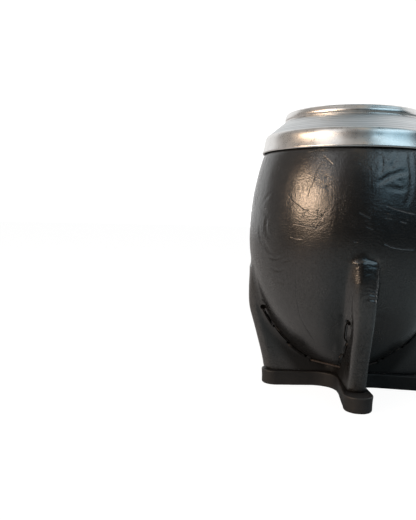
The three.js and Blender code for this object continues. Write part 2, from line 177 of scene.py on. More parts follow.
class Tree:
    """A node tree that is filled through one method."""

    def __init__(self, nodes):
        self.nodes = nodes

    def node(self, kind, settings=None, sockets=None, output=0):
        made = self.nodes.nodes.new(kind)
        for name, value in (settings or {}).items():
            setattr(made, name, value)
        for name, value in (sockets or {}).items():
            socket = made.inputs[name]
            if isinstance(value, Wire):
                self.nodes.links.new(value.socket, socket)
            else:
                socket.default_value = (*value, 1) if socket.type == "RGBA" else value
        return Wire(self, made.outputs[output]) if made.outputs else None

    def math(self, operation, *values):
        return self.node("ShaderNodeMath", {"operation": operation}, dict(enumerate(values)))

    def vector(self, operation, *values, output=0, **named):
        sockets = {**dict(enumerate(values)), **named}
        return self.node("ShaderNodeVectorMath", {"operation": operation}, sockets, output)

    def ease(self, value, low, high):
        """0 below low, 1 above high, smooth between."""
        sockets = {"Value": value, "From Min": low, "From Max": high}
        return self.node("ShaderNodeMapRange", {"interpolation_type": "SMOOTHSTEP"}, sockets)

    def tint(self, share, first, second):
        """One colour turning into another."""
        return self.node("ShaderNodeMix", {"data_type": "RGBA"}, {0: share, 6: first, 7: second}, 2)

    def millimetres(self, stretch=(1, 1, 1)):
        """Object coordinates in millimetres, squeezed by a factor on each axis."""
        place = self.node("ShaderNodeTexCoord", output="Object")
        return self.vector("MULTIPLY", place, tuple(1000 * part for part in stretch))

    def parts(self, place):
        """A vector's X. Its Y and Z are the other outputs of the same node."""
        return self.node("ShaderNodeSeparateXYZ", {}, {0: place})

    def radius(self, place):
        """Distance from the cup's axis."""
        return self.vector("LENGTH", self.vector("MULTIPLY", place, (1, 1, 0)), output="Value")

    def painted(self, name):
        """A number stored on the points of the mesh."""
        return self.node("ShaderNodeAttribute", {"attribute_name": name}, {}, "Fac")

    def noise(self, place, grain, detail=2.0, roughness=0.5, warp=0.0):
        """Noise from 0 to 1 whose grains are about that many millimetres across."""
        shape = {"Scale": 1 / grain, "Detail": detail, "Roughness": roughness, "Distortion": warp}
        return self.node("ShaderNodeTexNoise", {}, {"Vector": place, **shape})

    def relief(self, height):
        """A normal for a height in millimetres."""
        return self.node("ShaderNodeBump", {}, {"Height": height, "Distance": MM, "Strength": 1.0})

    def surface(self, **sockets):
        named = {name.replace("_", " "): value for name, value in sockets.items()}
        return self.node("ShaderNodeBsdfPrincipled", {}, named)


def new_finish(name, look):
    """A material whose shader comes from a function of its node tree."""
    material = bpy.data.materials.new(name)
    material.use_nodes = True
    material.node_tree.nodes.clear()
    tree = Tree(material.node_tree)
    tree.node("ShaderNodeOutputMaterial", {}, {"Surface": look(tree)})
    return material


# Form of the cover, by the same rule as the solid

def limit(value):
    return np.clip(value, 0, 1)


def bell(value, width):
    """1 where the value is 0, falling to nothing on both sides over about twice the width."""
    return np.exp(-((value / width) ** 2))


def rising(value, length):
    """0 where the value is 0, nearing 1 over a few lengths."""
    return 1 - np.exp(-value / length)


def unit(vectors):
    return vectors / np.linalg.norm(vectors, axis=-1, keepdims=True)


def lengths_along(line):
    """How far along a broken line each of its corners is."""
    return np.concatenate([[0], np.cumsum(np.linalg.norm(np.diff(line, axis=0), axis=1))])


def body_radius(z, inset=0.0):
    half = np.where(z < BELLY_HEIGHT, BODY_LOWER, BODY_UPPER) - inset
    share = (z - BELLY_HEIGHT) / half
    round_part = (BELLY_RADIUS - inset) * np.sqrt(np.maximum(1 - share**2, 0))
    return np.where(np.abs(share) < 1, round_part, -BELLY_RADIUS)


def body_radius_at(z):
    return float(body_radius(np.array(z)))


def fin_reach(leg, z):
    knee = SOLE_THICKNESS + FIN_KNEE_RISE
    top = SOLE_THICKNESS + leg.fin_top
    taper = (FIN_KNEE_REACH - FIN_FOOT_REACH) / FIN_KNEE_RISE
    third = (top - knee) / 3
    end = body_radius_at(top)
    t = limit((z - knee) / (top - knee))
    curve = (
        (1 - t) ** 3 * FIN_KNEE_REACH
        + 3 * (1 - t) ** 2 * t * (FIN_KNEE_REACH + taper * third)
        + 3 * (1 - t) * t**2 * (end - FIN_TOP_LEAN * third)
        + t**3 * end
    )
    straight = FIN_FOOT_REACH + taper * (z - SOLE_THICKNESS)
    return np.where(z <= knee, straight, np.where(z >= top, end - FIN_FADE * (z - top), curve))


def fin_half_width(z):
    share = np.minimum(1, (z - SOLE_THICKNESS) / FIN_WIDTH_RISE)
    return (FIN_FOOT_WIDTH + (FIN_TOP_WIDTH - FIN_FOOT_WIDTH) * share) / 2


def to_fin(leg, x, y):
    """How far out along a fin's middle, and how far to its side."""
    cos, sin = math.cos(leg.azimuth * DEGREE), math.sin(leg.azimuth * DEGREE)
    return x * cos + y * sin, y * cos - x * sin


def from_azimuth(azimuth, out, side):
    """X and Y of a place out along that azimuth and to its side."""
    cos, sin = math.cos(azimuth * DEGREE), math.sin(azimuth * DEGREE)
    return out * cos - side * sin, out * sin + side * cos


def turn_to_leg(point, leg):
    return np.array([*from_azimuth(leg.azimuth, point[0], point[1]), point[2]])


def fin_distance(leg, out, side, z, inset):
    reach = fin_reach(leg, z) - inset
    half = fin_half_width(z) - inset
    fold = np.minimum(FOLD_ROUND, half)
    past = np.abs(out - reach / 2) - reach / 2 + fold
    beside = np.abs(side) - half + fold
    outside = np.hypot(np.maximum(past, 0), np.maximum(beside, 0))
    return outside + np.minimum(np.maximum(past, beside), 0) - fold


def cover_distance(x, y, z, inset=0.0):
    distance = np.hypot(x, y) - body_radius(z, inset)
    for leg in LEGS:
        out, side = to_fin(leg, x, y)
        other = fin_distance(leg, out, side, z, inset)
        rise = limit((z - SOLE_THICKNESS - leg.fin_top + TOP_BLEND_START) / TOP_BLEND_LENGTH)
        tight = leg.tight * (0.5 + 0.5 * np.tanh(side / TIGHT_SPREAD))
        reach = ROOT_BLEND + (TOP_BLEND - ROOT_BLEND) * rise
        reach = (reach + (TIGHT_BLEND - reach) * tight) * (1 - inset / INNER_BLEND_FALL)
        overlap = np.maximum(reach - np.abs(distance - other), 0) / reach
        distance = np.minimum(distance, other) - overlap**2 * reach / 4
    return distance


def crossing(test, low, high):
    """Where a function of an array of numbers turns from negative to positive."""
    for _ in range(36):
        middle = (low + high) / 2
        inside = test(middle) < 0
        low = np.where(inside, middle, low)
        high = np.where(inside, high, middle)
    return high


def column_angles(leg, z, inset):
    """Angles from a fin's middle to midway between fins: round the fold, along its side, over the body."""
    half = fin_half_width(z) - inset
    bend = np.minimum(FOLD_ROUND, half)
    radius = np.maximum(body_radius(z, inset), half / math.sin(LOWEST_CREASE))
    crease = np.sqrt(radius**2 - half**2)
    shortest_side = 0.7
    fold = np.maximum(fin_reach(leg, z) - inset - bend, crease + shortest_side)
    columns = []
    for share in np.linspace(0, 1, FOLD_COLUMNS, endpoint=False):
        columns.append(np.arctan2((half - bend) * share, fold + bend))
    for turn in np.linspace(0, math.pi / 2, ROUND_COLUMNS, endpoint=False):
        columns.append(np.arctan2(half - bend + bend * math.sin(turn), fold + bend * math.cos(turn)))
    for share in np.linspace(0, 1, SIDE_COLUMNS, endpoint=False) ** 0.8:
        columns.append(np.arctan2(half, fold + (crease - fold) * share))
    start = np.arctan2(half, crease)
    for share in np.linspace(0, 1, BODY_COLUMNS) ** 1.25:
        columns.append(start + (math.pi / 4 - start) * share)
    return np.stack(columns, axis=1)


def cover_rings(levels, inset):
    """Points of the cover on level rings, as rows of columns."""
    angles = []
    for leg in LEGS:
        half = column_angles(leg, levels, inset)
        angles.append(leg.azimuth * DEGREE + np.hstack([-half[:, :0:-1], half[:, :-1]]))
    angle = np.hstack(angles)
    z = np.repeat(levels[:, None], angle.shape[1], axis=1)
    cos, sin = np.cos(angle), np.sin(angle)
    radius = crossing(
        lambda r: cover_distance(r * cos, r * sin, z, inset),
        np.zeros_like(angle),
        np.full_like(angle, 2 * BELLY_RADIUS),
    )
    return np.stack([radius * cos, radius * sin, z], axis=2)


def cover_levels(inset, step, rise):
    """Heights of the rings: the foot, the bowl at even angles of that many degrees, and the upper body."""
    foot_height = 2.8
    bowl = BELLY_HEIGHT - (BODY_LOWER - inset) * np.cos(np.arange(step, 90, step) * DEGREE)
    foot = np.linspace(COVER_FOOT, bowl[0], max(3, round(foot_height / rise)), endpoint=False)
    upper = np.linspace(BELLY_HEIGHT, COVER_TOP, round((COVER_TOP - BELLY_HEIGHT) / rise))
    return np.concatenate([foot, bowl, upper])


# Creases pressed into the leather: azimuth and height of each corner, then width and depth
CREASES = [
    ([(-67.0, 98.4), (-67.7, 94.0), (-67.6, 88.6), (-68.5, 84.8), (-69.9, 81.1), (-71.8, 77.9)], 0.65, 0.26),
    ([(-74.9, 98.6), (-76.5, 94.8), (-78.8, 92.3), (-79.3, 89.5)], 0.55, 0.20),
    ([(-86.8, 85.7), (-82.1, 87.8), (-75.8, 89.6), (-70.4, 90.5)], 0.80, 0.24),
    ([(-81.0, 84.1), (-73.9, 83.6), (-70.9, 84.7)], 0.70, 0.17),
    ([(-77.2, 87.9), (-73.0, 85.6)], 0.60, 0.16),
    ([(-87.9, 97.9), (-79.8, 94.7)], 0.60, 0.12),
    ([(-86.5, 94.2), (-82.2, 92.5), (-76.6, 91.9)], 0.60, 0.13),
    ([(-85.0, 98.0), (-84.0, 93.0), (-85.5, 89.0)], 0.60, 0.10),
    ([(-116.7, 69.0), (-114.7, 69.6), (-113.1, 69.5)], 0.45, 0.12),
    ([(-149.9, 72.1), (-151.0, 68.6), (-148.2, 64.8)], 0.60, 0.36),
    ([(-154.1, 64.5), (-150.6, 61.4), (-146.0, 58.4)], 0.60, 0.32),
    ([(-158.7, 68.7), (-156.1, 63.9), (-151.7, 59.3)], 0.60, 0.30),
    ([(-147.7, 82.4), (-152.9, 80.1), (-156.7, 77.7)], 0.50, 0.18),
    ([(-147.1, 56.7), (-142.8, 56.2), (-138.8, 57.2)], 0.50, 0.22),
    ([(-145.2, 52.5), (-141.2, 51.5), (-136.4, 52.7)], 0.50, 0.20),
    ([(-141.4, 47.9), (-138.5, 46.8), (-134.4, 48.1)], 0.50, 0.20),
    ([(-136.1, 55.4), (-131.9, 56.8)], 0.45, 0.10),
    ([(-78.5, 42.0), (-74.2, 40.4), (-69.5, 38.4)], 0.50, 0.10),
    ([(-81.3, 57.5), (-79.5, 52.7), (-79.3, 47.0)], 0.55, 0.08),
    ([(-113.6, 88.6), (-113.2, 87.0)], 0.55, 0.16),
    ([(-112.2, 84.8), (-111.6, 83.4)], 0.60, 0.18),
    ([(-115.2, 82.8), (-114.4, 81.8)], 0.50, 0.12),
    ([(-114.3, 39.6), (-109.1, 37.5), (-104.4, 33.6)], 0.60, 0.14),
    ([(-111.7, 35.6), (-107.6, 33.4)], 0.50, 0.12),
    ([(-104.8, 61.0), (-102.2, 57.2)], 0.40, 0.10),
    ([(-102.8, 61.5), (-100.6, 57.8)], 0.40, 0.10),
    ([(-106.8, 58.8), (-103.6, 55.6)], 0.40, 0.08),
]

# Creases placed by chance: seed, count, lowest, highest, first and last azimuth
CHANCE_CREASES = [(21, 26, 30, 96, 10, 170), (22, 9, 34, 96, -58, 5), (23, 8, 60, 96, 170, 200)]
CHANCE_CREASE_LENGTH = 13
CHANCE_CREASE_WIDTH = 0.55
CHANCE_CREASE_DEPTH = 0.13

# Scratches and fine cracks in the wax: azimuth and height of each corner, then width and share of full depth
SCRATCHES = [
    ([(-116.5, 95.9), (-113.2, 94.1), (-109.7, 92.1)], 0.34, 0.5),
    ([(-135.3, 81.5), (-130.6, 78.3), (-124.9, 75.9)], 0.55, 0.5),
    ([(-124.5, 75.7), (-120.9, 75.3)], 0.32, 1.3),
    ([(-115.3, 94.5), (-118.8, 89.9), (-120.0, 85.8), (-121.8, 82.9), (-122.8, 79.2)], 0.26, 0.55),
    ([(-115.8, 86.2), (-116.1, 84.1)], 0.24, 0.7),
    ([(-113.1, 88.6), (-113.3, 87.4)], 0.32, 0.9),
    ([(-114.0, 84.1), (-110.9, 85.0), (-109.3, 84.7)], 0.26, 0.5),
    ([(-130.4, 70.3), (-122.3, 69.7), (-116.3, 69.0), (-111.3, 70.8)], 0.26, 0.5),
    ([(-116.7, 75.7), (-116.0, 73.9), (-116.4, 70.3)], 0.24, 0.5),
    ([(-112.8, 74.4), (-113.7, 72.4)], 0.26, 0.7),
    ([(-124.7, 74.2), (-124.1, 72.2)], 0.24, 0.6),
    ([(-125.8, 85.4), (-125.6, 82.9)], 0.24, 0.6),
    ([(-126.2, 97.2), (-112.9, 98.5)], 0.20, 0.6),
    ([(-96.9, 93.0), (-93.1, 91.9), (-89.7, 90.3)], 0.30, 1.3),
    ([(-82.8, 78.0), (-77.6, 76.7), (-71.4, 75.6), (-65.9, 75.0)], 0.34, 1.5),
    ([(-95.9, 75.2), (-92.6, 73.9), (-89.6, 73.0)], 0.28, 1.3),
    ([(-91.9, 70.1), (-88.6, 69.0)], 0.28, 1.3),
    ([(-82.4, 73.4), (-79.6, 73.1)], 0.26, 1.2),
    ([(-74.5, 72.2), (-71.4, 71.6)], 0.26, 1.2),
    ([(-83.4, 64.3), (-78.7, 62.9), (-73.2, 62.3), (-65.0, 62.0)], 0.36, 1.5),
    ([(-127.2, 55.3), (-128.3, 47.0), (-129.4, 42.9), (-129.6, 33.6), (-127.5, 28.4), (-124.3, 22.4)],
     0.28, 0.8),
    ([(-111.8, 34.8), (-108.6, 37.1)], 0.22, 0.6),
    ([(-109.1, 30.3), (-105.4, 32.7)], 0.22, 0.6),
    ([(-97.9, 64.6), (-95.7, 64.3)], 0.26, 0.9),
]

# Scratches placed by chance: as the creases, then length and share of the full depth
CHANCE_SCRATCHES = [
    (71, 16, 34, 96, 10, 170, 11, 0.8), (72, 8, 40, 96, -56, 5, 11, 0.8),
    (73, 6, 60, 96, 170, 200, 11, 0.8), (74, 24, 30, 98, 160, 236, 8, 0.25),
    (76, 16, 30, 98, 278, 375, 8, 0.25), (75, 40, 30, 98, 15, 160, 8, 0.35),
]
CHANCE_SCRATCH_WIDTH = 0.2
SCRATCH_REACH = 3


# Uneven leather

def lumps(points, size, seed):
    """Smooth noise from -1 to 1 whose lumps are about that many millimetres across."""
    cells, shift = 48, 1000
    table = np.random.default_rng(seed).uniform(-1, 1, (cells, cells, cells))
    place = points / np.asarray(size) + shift
    cell = np.floor(place).astype(int)
    share = place - cell
    share = share * share * (3 - 2 * share)
    total = np.zeros(points.shape[:-1])
    for corner in np.ndindex(2, 2, 2):
        weight = np.prod(np.where(np.array(corner) == 1, share, 1 - share), axis=-1)
        index = (cell + corner) % cells
        total += weight * table[index[..., 0], index[..., 1], index[..., 2]]
    return total


def on_body(azimuth, z):
    return np.array([*from_azimuth(azimuth, body_radius_at(z), 0), z])


def line_distance(points, line):
    """Distance from points to a broken line, and how far along it, from 0 to 1, the nearest place is."""
    best = np.full(points.shape[:-1], 1e9)
    along = np.zeros(points.shape[:-1])
    for index, (a, b) in enumerate(zip(line[:-1], line[1:])):
        step = b - a
        share = limit(((points - a) @ step) / (step @ step))
        distance = np.linalg.norm(points - a - share[..., None] * step, axis=-1)
        nearer = distance < best
        best = np.where(nearer, distance, best)
        along = np.where(nearer, (index + share) / (len(line) - 1), along)
    return best, along


def chance_lines(seed, count, low, high, first, last, length):
    """Short lines on the body between two heights and two azimuths, the same on every run."""
    shortest, turn_spread, upright_share, bend_spread = 0.4, 0.5, 0.35, 0.2
    chance = np.random.default_rng(seed)
    lines = []
    for _ in range(count):
        azimuth = chance.uniform(first, last)
        z = chance.uniform(low, high)
        size = chance.uniform(shortest, 1) * length
        turn = chance.normal(0, turn_spread) + (math.pi / 2 if chance.random() < upright_share else 0)
        bend = chance.normal(0, bend_spread) * size
        swing = size * math.cos(turn) / BELLY_RADIUS / DEGREE
        lift = size * math.sin(turn)
        middle = (azimuth + swing / 2, z + lift / 2 + bend)
        lines.append([(azimuth, z), middle, (azimuth + swing, z + lift)])
    return lines


# Routes of the threads

seam_top_angle = math.asin((SOLE_THICKNESS + SEAM_TOP_RISE - BELLY_HEIGHT) / (BODY_LOWER + SEAM_OUT))
seam_turn = np.linspace(seam_top_angle, -math.pi / 2, 4001)
seam_radius = (BELLY_RADIUS + SEAM_OUT) * np.cos(seam_turn)
seam_height = BELLY_HEIGHT + (BODY_LOWER + SEAM_OUT) * np.sin(seam_turn)
seam_line = np.stack([seam_radius, seam_height], axis=1)
seam_length = lengths_along(seam_line)


def seam_point(distance, outward=0.0):
    """A place on a fin's seam in the fin's own frame: out from the axis, to the side, up."""
    step = 0.05
    behind, ahead = (
        np.array([np.interp(place, seam_length, seam_line[:, axis]) for axis in (0, 1)])
        for place in (distance - step, distance + step)
    )
    along = unit(ahead - behind)
    place = (ahead + behind) / 2
    return np.array([place[0] - along[1] * outward, 0.0, place[1] + along[0] * outward])


def leather_side(leg, out, z, face):
    """How far beside a fin's middle the leather's surface is, on the face to its left (-1) or right (1)."""
    return crossing(
        lambda side: cover_distance(*from_azimuth(leg.azimuth, out, face * side), z),
        np.zeros_like(z),
        np.full_like(z, BELLY_RADIUS),
    )


def thread_side(leg, point, diameter, face):
    """How far beside a fin's middle a thread lies when it is pulled into the leather."""
    surface = leather_side(leg, np.array(point[0]), np.array(point[2]), face)
    return float(surface) + THREAD_LIFT + diameter / 2


def seam_route(leg):
    """Down through all holes, changing sides at each, and back up on the other faces."""
    half = THREAD_SPACING / 2
    sinking = ((0, 1), (0.06, 0.42), (0.19, 0.05), (0.5, 0.0), (0.81, 0.05), (0.94, 0.42), (1, 1))
    route = [seam_point(0, half)]
    face = 1
    for visit in range(2 * STITCHES):
        down = visit < STITCHES
        heading = 1 if down else -1
        outward = half * heading
        start = (visit if down else 2 * STITCHES - visit) * STITCH
        for share, sunk in sinking:
            point = seam_point(start + heading * STITCH * share, outward)
            point[1] = face * (thread_side(leg, point, THREAD, face) - THREAD_DIP * sunk)
            route.append(point)
        face = -face
    route.append(seam_point(0, -half))
    return [turn_to_leg(point, leg) for point in route]


def draw_route():
    """Through one hole in each fin, with both ends inside the back fin."""
    hole = seam_point(STITCHES * STITCH + DRAW_STEP, DRAW_OUT)
    back = [leg.name for leg in LEGS].index("back")
    route = []
    for step in range(len(LEGS) + 1):
        leg = LEGS[(back + step) % len(LEGS)]
        enter = DRAW_THREAD / 2 if step == 0 else DRAW_SINK - thread_side(leg, hole, DRAW_THREAD, -1)
        leave = -DRAW_THREAD / 2 if step == len(LEGS) else thread_side(leg, hole, DRAW_THREAD, 1) - DRAW_SINK
        for across in (enter, leave):
            route.append(turn_to_leg((hole[0], across, hole[2]), leg))
    return route


# Meshes

def add_object(name, data):
    item = bpy.data.objects.new(name, data)
    scene.collection.objects.link(item)
    return item


def new_mesh(name, vertices, faces):
    mesh = bpy.data.meshes.new(name)
    mesh.from_pydata((np.asarray(vertices) * MM).tolist(), [], faces)
    return mesh


def new_piece(name, vertices, faces, finish):
    mesh = new_mesh(name, vertices, faces)
    mesh.materials.append(finish)
    mesh.shade_smooth()
    return add_object(name, mesh)


def skin_faces(rows, columns, close_rows=False):
    faces = []
    for row in range(rows if close_rows else rows - 1):
        low = row * columns
        high = (row + 1) % rows * columns
        for column in range(columns):
            after = (column + 1) % columns
            faces.append((low + column, low + after, high + after, high + column))
    return faces


def turn_faces_out(mesh, in_triangles=False):
    shape = bmesh.new()
    shape.from_mesh(mesh)
    bmesh.ops.recalc_face_normals(shape, faces=shape.faces)
    if in_triangles:
        bmesh.ops.triangulate(shape, faces=shape.faces)
    shape.to_mesh(mesh)
    shape.free()


def settle(piece):
    """Turns what the modifiers make into the piece's own mesh."""
    graph = bpy.context.evaluated_depsgraph_get()
    mesh = bpy.data.meshes.new_from_object(piece.evaluated_get(graph))
    piece.modifiers.clear()
    old = piece.data
    if piece.type != "MESH":
        name = piece.name
        bpy.data.objects.remove(piece)
        piece = add_object(name, mesh)
    else:
        piece.data = mesh
        bpy.data.meshes.remove(old)
    mesh.name = piece.name
    return piece


def read_places(items, name):
    """A place of each vertex or face, in millimetres."""
    places = np.empty(len(items) * 3, np.float32)
    items.foreach_get(name, places)
    return places.reshape(-1, 3) / MM


def blind_cutter(name, loose, tight):
    """Prisms that cut outlines on the fins' faces, loose or tight, into the leather, but not through it."""
    above = 6
    vertices, faces = [], []
    for leg in LEGS:
        for face in (-1, 1):
            for outline in tight if leg.tight and face > 0 else loose:
                surface = leather_side(leg, outline[:, 0], outline[:, 2], face)
                base, count = len(vertices), len(outline)
                for sides in (surface - HOLE_DEPTH, surface + above):
                    for point, side in zip(outline, sides):
                        vertices.append(turn_to_leg((point[0], face * side, point[2]), leg))
                for step in range(count):
                    after = (step + 1) % count
                    faces.append((base + step, base + count + step, base + count + after, base + after))
                faces.append([base + step for step in range(count)])
                faces.append([base + count + step for step in reversed(range(count))])
    mesh = new_mesh(name, vertices, faces)
    turn_faces_out(mesh, True)
    return add_object(name, mesh)


def hole_outlines(tight):
    """The punched holes. In a tight fold the first one is drawn out along the fold."""
    places = [(seam_point(hole * STITCH), radius) for hole, radius in enumerate(HOLE_RADII)]
    places.append((seam_point(STITCHES * STITCH + DRAW_STEP, DRAW_OUT), DRAW_HOLE_RADIUS))
    turns = np.linspace(0, 2 * math.pi, 18, endpoint=False)
    rim = np.stack([np.cos(turns), np.zeros_like(turns), np.sin(turns)], axis=1)
    outlines = [place + radius * rim for place, radius in places]
    if tight:
        shift, radii = np.array([0.25, 0, -1.2]), np.array([0.45, 0, 1.7])
        outlines[0] = places[0][0] + shift + rim * radii
    return outlines


def slit_outlines():
    """Narrow gaps that the thread has pulled open between two holes."""
    inward = 0.1
    shares = np.linspace(0.03, 0.97, 16)
    breadth = SLIT / 2 * (0.35 + 0.65 * np.sin(math.pi * shares))
    outlines = []
    for hole in range(STITCHES):
        places = list(zip((hole + shares) * STITCH, breadth))
        outer, inner = (
            [seam_point(place, edge * wide - inward) for place, wide in places] for edge in (1, -1)
        )
        outlines.append(np.array(outer + inner[::-1]))
    return outlines


def crease_relief(points):
    """Grooves with a raised lip along the creases."""
    lines = list(CREASES)
    for region in CHANCE_CREASES:
        for line in chance_lines(*region, CHANCE_CREASE_LENGTH):
            lines.append((line, CHANCE_CREASE_WIDTH, CHANCE_CREASE_DEPTH))
    height = np.zeros(points.shape[:-1])
    for corners, width, depth in lines:
        distance, along = line_distance(points, [on_body(*corner) for corner in corners])
        taper = np.sqrt(limit(4 * along * (1 - along))) * 0.8 + 0.2
        height += depth * taper * (0.4 * bell(distance - 2 * width, width) - bell(distance, width))
    return height


def fold_relief(leg, index, points, normals, beyond):
    """A fin's ledge, its wrinkles, the pinch beside it and its flared foot, and where the fin shows wear,
    with a painted sheen along its right edge.
    """
    x, y, z = np.moveaxis(points, -1, 0)
    out, side = to_fin(leg, x, y)
    facing = out > 0
    top = SOLE_THICKNESS + leg.fin_top
    half = fin_half_width(z)
    beside_fin = fin_distance(leg, out, side, z, 0.0)
    ahead = limit(1.4 * to_fin(leg, normals[..., 0], normals[..., 1])[0] - 0.3) * facing
    own = limit(1 - beside_fin / (1.95 - 1.05 * np.tanh((side - half + 0.3) / 0.8)))
    front = ahead * own * own * (3 - 2 * own)

    # The ledge starts a little above the fin's top, lower to the right, and fades out down the fin.
    below = top + 3.3 - 0.2 * side - z
    under = np.maximum(below, 0)
    ledge = 1.6 * rising(under, 6.5) * (0.84 + 0.16 * np.tanh(side + 0.4))
    ledge += 1.7 * rising(under, 13) - 0.9 - 0.07 * side * np.exp(-under / 14)
    ledge += 1.4 * rising(under, 20) * limit(0.3 - side / 3)
    ledge *= limit((38 - under) / 27)
    ledge *= bell(np.minimum(below, 0), 1.8 - 1.2 * np.tanh((side + 1.5) / 1.2))
    height = front * ledge * (0.2 + 0.8 * leg.wrinkles)

    # The pinch runs down the sharp crease.
    pinch_depth = 0.5
    pinch = bell(side - half - 0.5, 0.6) * bell(beyond, 1.5) * facing * leg.tight
    height -= pinch_depth * pinch * limit((22 - below) / 4) * limit((below - 1) / 3)

    # Wrinkles lie along both edges of the fold and across its top.
    wrinkle_pitch = 1.7
    warp = lumps(points, (3, 3, 5), 31 + index)
    ripple = np.sin(2 * math.pi * (z + 0.25 * np.abs(side) + 1.4 * warp) / wrinkle_pitch)
    left_edge = bell(below - 3.5, 2.6) * bell(side + half - 1.6, 1.3)
    left_strip = bell(below - 12, 6) * bell(side + half - 2.2, 1.4)
    right_edge = bell(below - 16, 4) * bell(side - half + 1.8, 2.2)
    cross = bell(below - 5, 4.5) * bell(side - 1.5, 2.6)
    folds = lumps(points, (2.6, 2.6, 0.75), 35 + index)
    specks = lumps(points, (0.9, 0.9, 0.9), 39 + index)
    notches = ripple * (0.10 * left_edge * (1 + 0.6 * warp) + 0.24 * right_edge)
    height += front * leg.wrinkles * (notches + 0.10 * cross * folds + 0.05 * left_strip * specks)

    # The foot flares by up to a millimetre.
    height += ahead * (beside_fin < 0.5) * np.exp(-np.maximum(z - COVER_FOOT, 0) / 7)

    # The fold's edges and its front show wear; the right edge gets most, a painted sheen where it would catch
    # the cool light.
    edge = bell(np.abs(side) - half + 0.9, 0.9) * (fin_reach(leg, z) - out < 2.4) * facing
    edge = edge * (0.6 + 0.4 * np.tanh(side)) * limit((z - 8) / 12) * (z < top + 2)
    face = ahead * limit(1 - np.abs(beside_fin) / 0.8) * limit((top - z) / 12)
    return height, np.maximum(edge, 0.8 * face)


def seam_relief(leg, points):
    """The leather is pulled in along a seam, most at the holes, and swells on the body between them."""
    pull, pucker, swell = 0.40, 0.12, 0.30
    x, y, z = np.moveaxis(points, -1, 0)
    out, side = to_fin(leg, x, y)
    place = np.interp(z, seam_line[::-1, 1], seam_line[::-1, 0])
    arc = np.interp(z, seam_line[::-1, 1], seam_length[::-1])
    beside = (out - place) * np.clip((BELLY_HEIGHT - z) / BODY_LOWER, 0.35, 1)
    sewn = (z < SOLE_THICKNESS + SEAM_TOP_RISE + 3) & (out > 0) & (np.abs(side) < fin_half_width(z) + 4)
    sewn = sewn * limit((arc + 4) / 4)
    stitch = np.cos(2 * math.pi * arc / STITCH)
    pulled = bell(beside, 1.1) * (pull + pucker * stitch)
    swollen = swell * bell(beside + 2.6, 1.5) * (0.5 - 0.5 * stitch)
    return sewn * (swollen - pulled)


def leather_relief(points, normals):
    """How far the leather stands out of its moulded form, in millimetres, and its wear, with a painted sheen
    on the fins' right edges.
    """
    collar_groove = 0.5
    x, y, z = np.moveaxis(points, -1, 0)
    beyond = np.hypot(x, y) - body_radius(z)
    height = 0.16 * lumps(points, (15, 15, 20), 11) + 0.07 * lumps(points, (6, 6, 9), 12)
    height += 0.03 * lumps(points, (1.6, 1.6, 12), 13) * (1 - limit(beyond / 1.2))
    height += crease_relief(points)
    wear_and_edge_sheen = np.zeros(z.shape)
    for index, leg in enumerate(LEGS):
        fold, wear_and_sheen = fold_relief(leg, index, points, normals, beyond)
        height += fold + seam_relief(leg, points)
        wear_and_edge_sheen = np.maximum(wear_and_edge_sheen, wear_and_sheen)
    height -= collar_groove * bell(z - COLLAR_EDGE + 0.2, 0.7)
    fade = limit(z - COVER_FOOT) * limit((COVER_TOP - z) / 1.5)
    return height * fade, wear_and_edge_sheen


def scratch_field(points, normals):
    """Signed distance to the nearest scratch in scratch widths, and how deep the scratch is there."""
    lines = list(SCRATCHES)
    for *region, deep in CHANCE_SCRATCHES:
        lines += [(line, CHANCE_SCRATCH_WIDTH, deep) for line in chance_lines(*region)]
    nearest = np.full(points.shape[:-1], 9.0)
    depth = np.zeros(points.shape[:-1])
    taken = np.zeros((0, 3))
    for index, (corners, width, deep) in enumerate(lines):
        knots = np.array(corners)
        places = np.linspace(0, len(knots) - 1, 6 * len(knots))
        turns, heights = (np.interp(places, range(len(knots)), knots[:, axis]) for axis in (0, 1))
        route = np.array([on_body(turn, z) for turn, z in zip(turns, heights)])
        if index >= len(SCRATCHES) and line_distance(taken, route)[0].min() < SCRATCH_REACH:
            continue
        taken = np.concatenate([taken, route])
        low, high = route.min(axis=0) - SCRATCH_REACH, route.max(axis=0) + SCRATCH_REACH
        nearby = np.all((points > low) & (points < high), axis=-1)
        distance, along = line_distance(points[nearby], route)
        stretch = np.minimum((along * (len(route) - 1)).astype(int), len(route) - 2)
        ahead = route[stretch + 1] - route[stretch]
        across = np.sum(np.cross(ahead, points[nearby] - route[stretch]) * normals[nearby], axis=-1)
        signed = np.where(across < 0, -distance, distance) / width
        closer = np.abs(signed) < np.abs(nearest[nearby])
        nearest[nearby] = np.where(closer, signed, nearest[nearby])
        taper = deep * limit(5 * np.minimum(along, 1 - along)) * limit((1.3 - distance) / 0.4)
        depth[nearby] = np.where(closer, taper, depth[nearby])
    return nearest, depth


def paint_points(piece, name, values, spare):
    """Stores a number for each outer point of the leather, and 0 for the inner points."""
    field = piece.data.attributes.new(name, "FLOAT", "POINT")
    field.data.foreach_set("value", np.concatenate([values.ravel(), np.zeros(spare)]).astype(np.float32))


def paint_hole_shade(piece, skin, inside):
    """Gives the faces deep in the leather's holes and slits an almost black finish: painted shade for the
    depth of holes that go through the leather.
    """
    deepest, shallowest, top_rise = -1.75, -0.55, 1.4
    piece.data.materials.clear()
    piece.data.materials.append(skin)
    piece.data.materials.append(inside)
    x, y, z = read_places(piece.data.polygons, "center").T
    depth = cover_distance(x, y, z)
    deep = (depth < shallowest) & (depth > deepest) & (z < SOLE_THICKNESS + SEAM_TOP_RISE + top_rise)
    piece.data.polygons.foreach_set("material_index", deep.astype(np.int32))


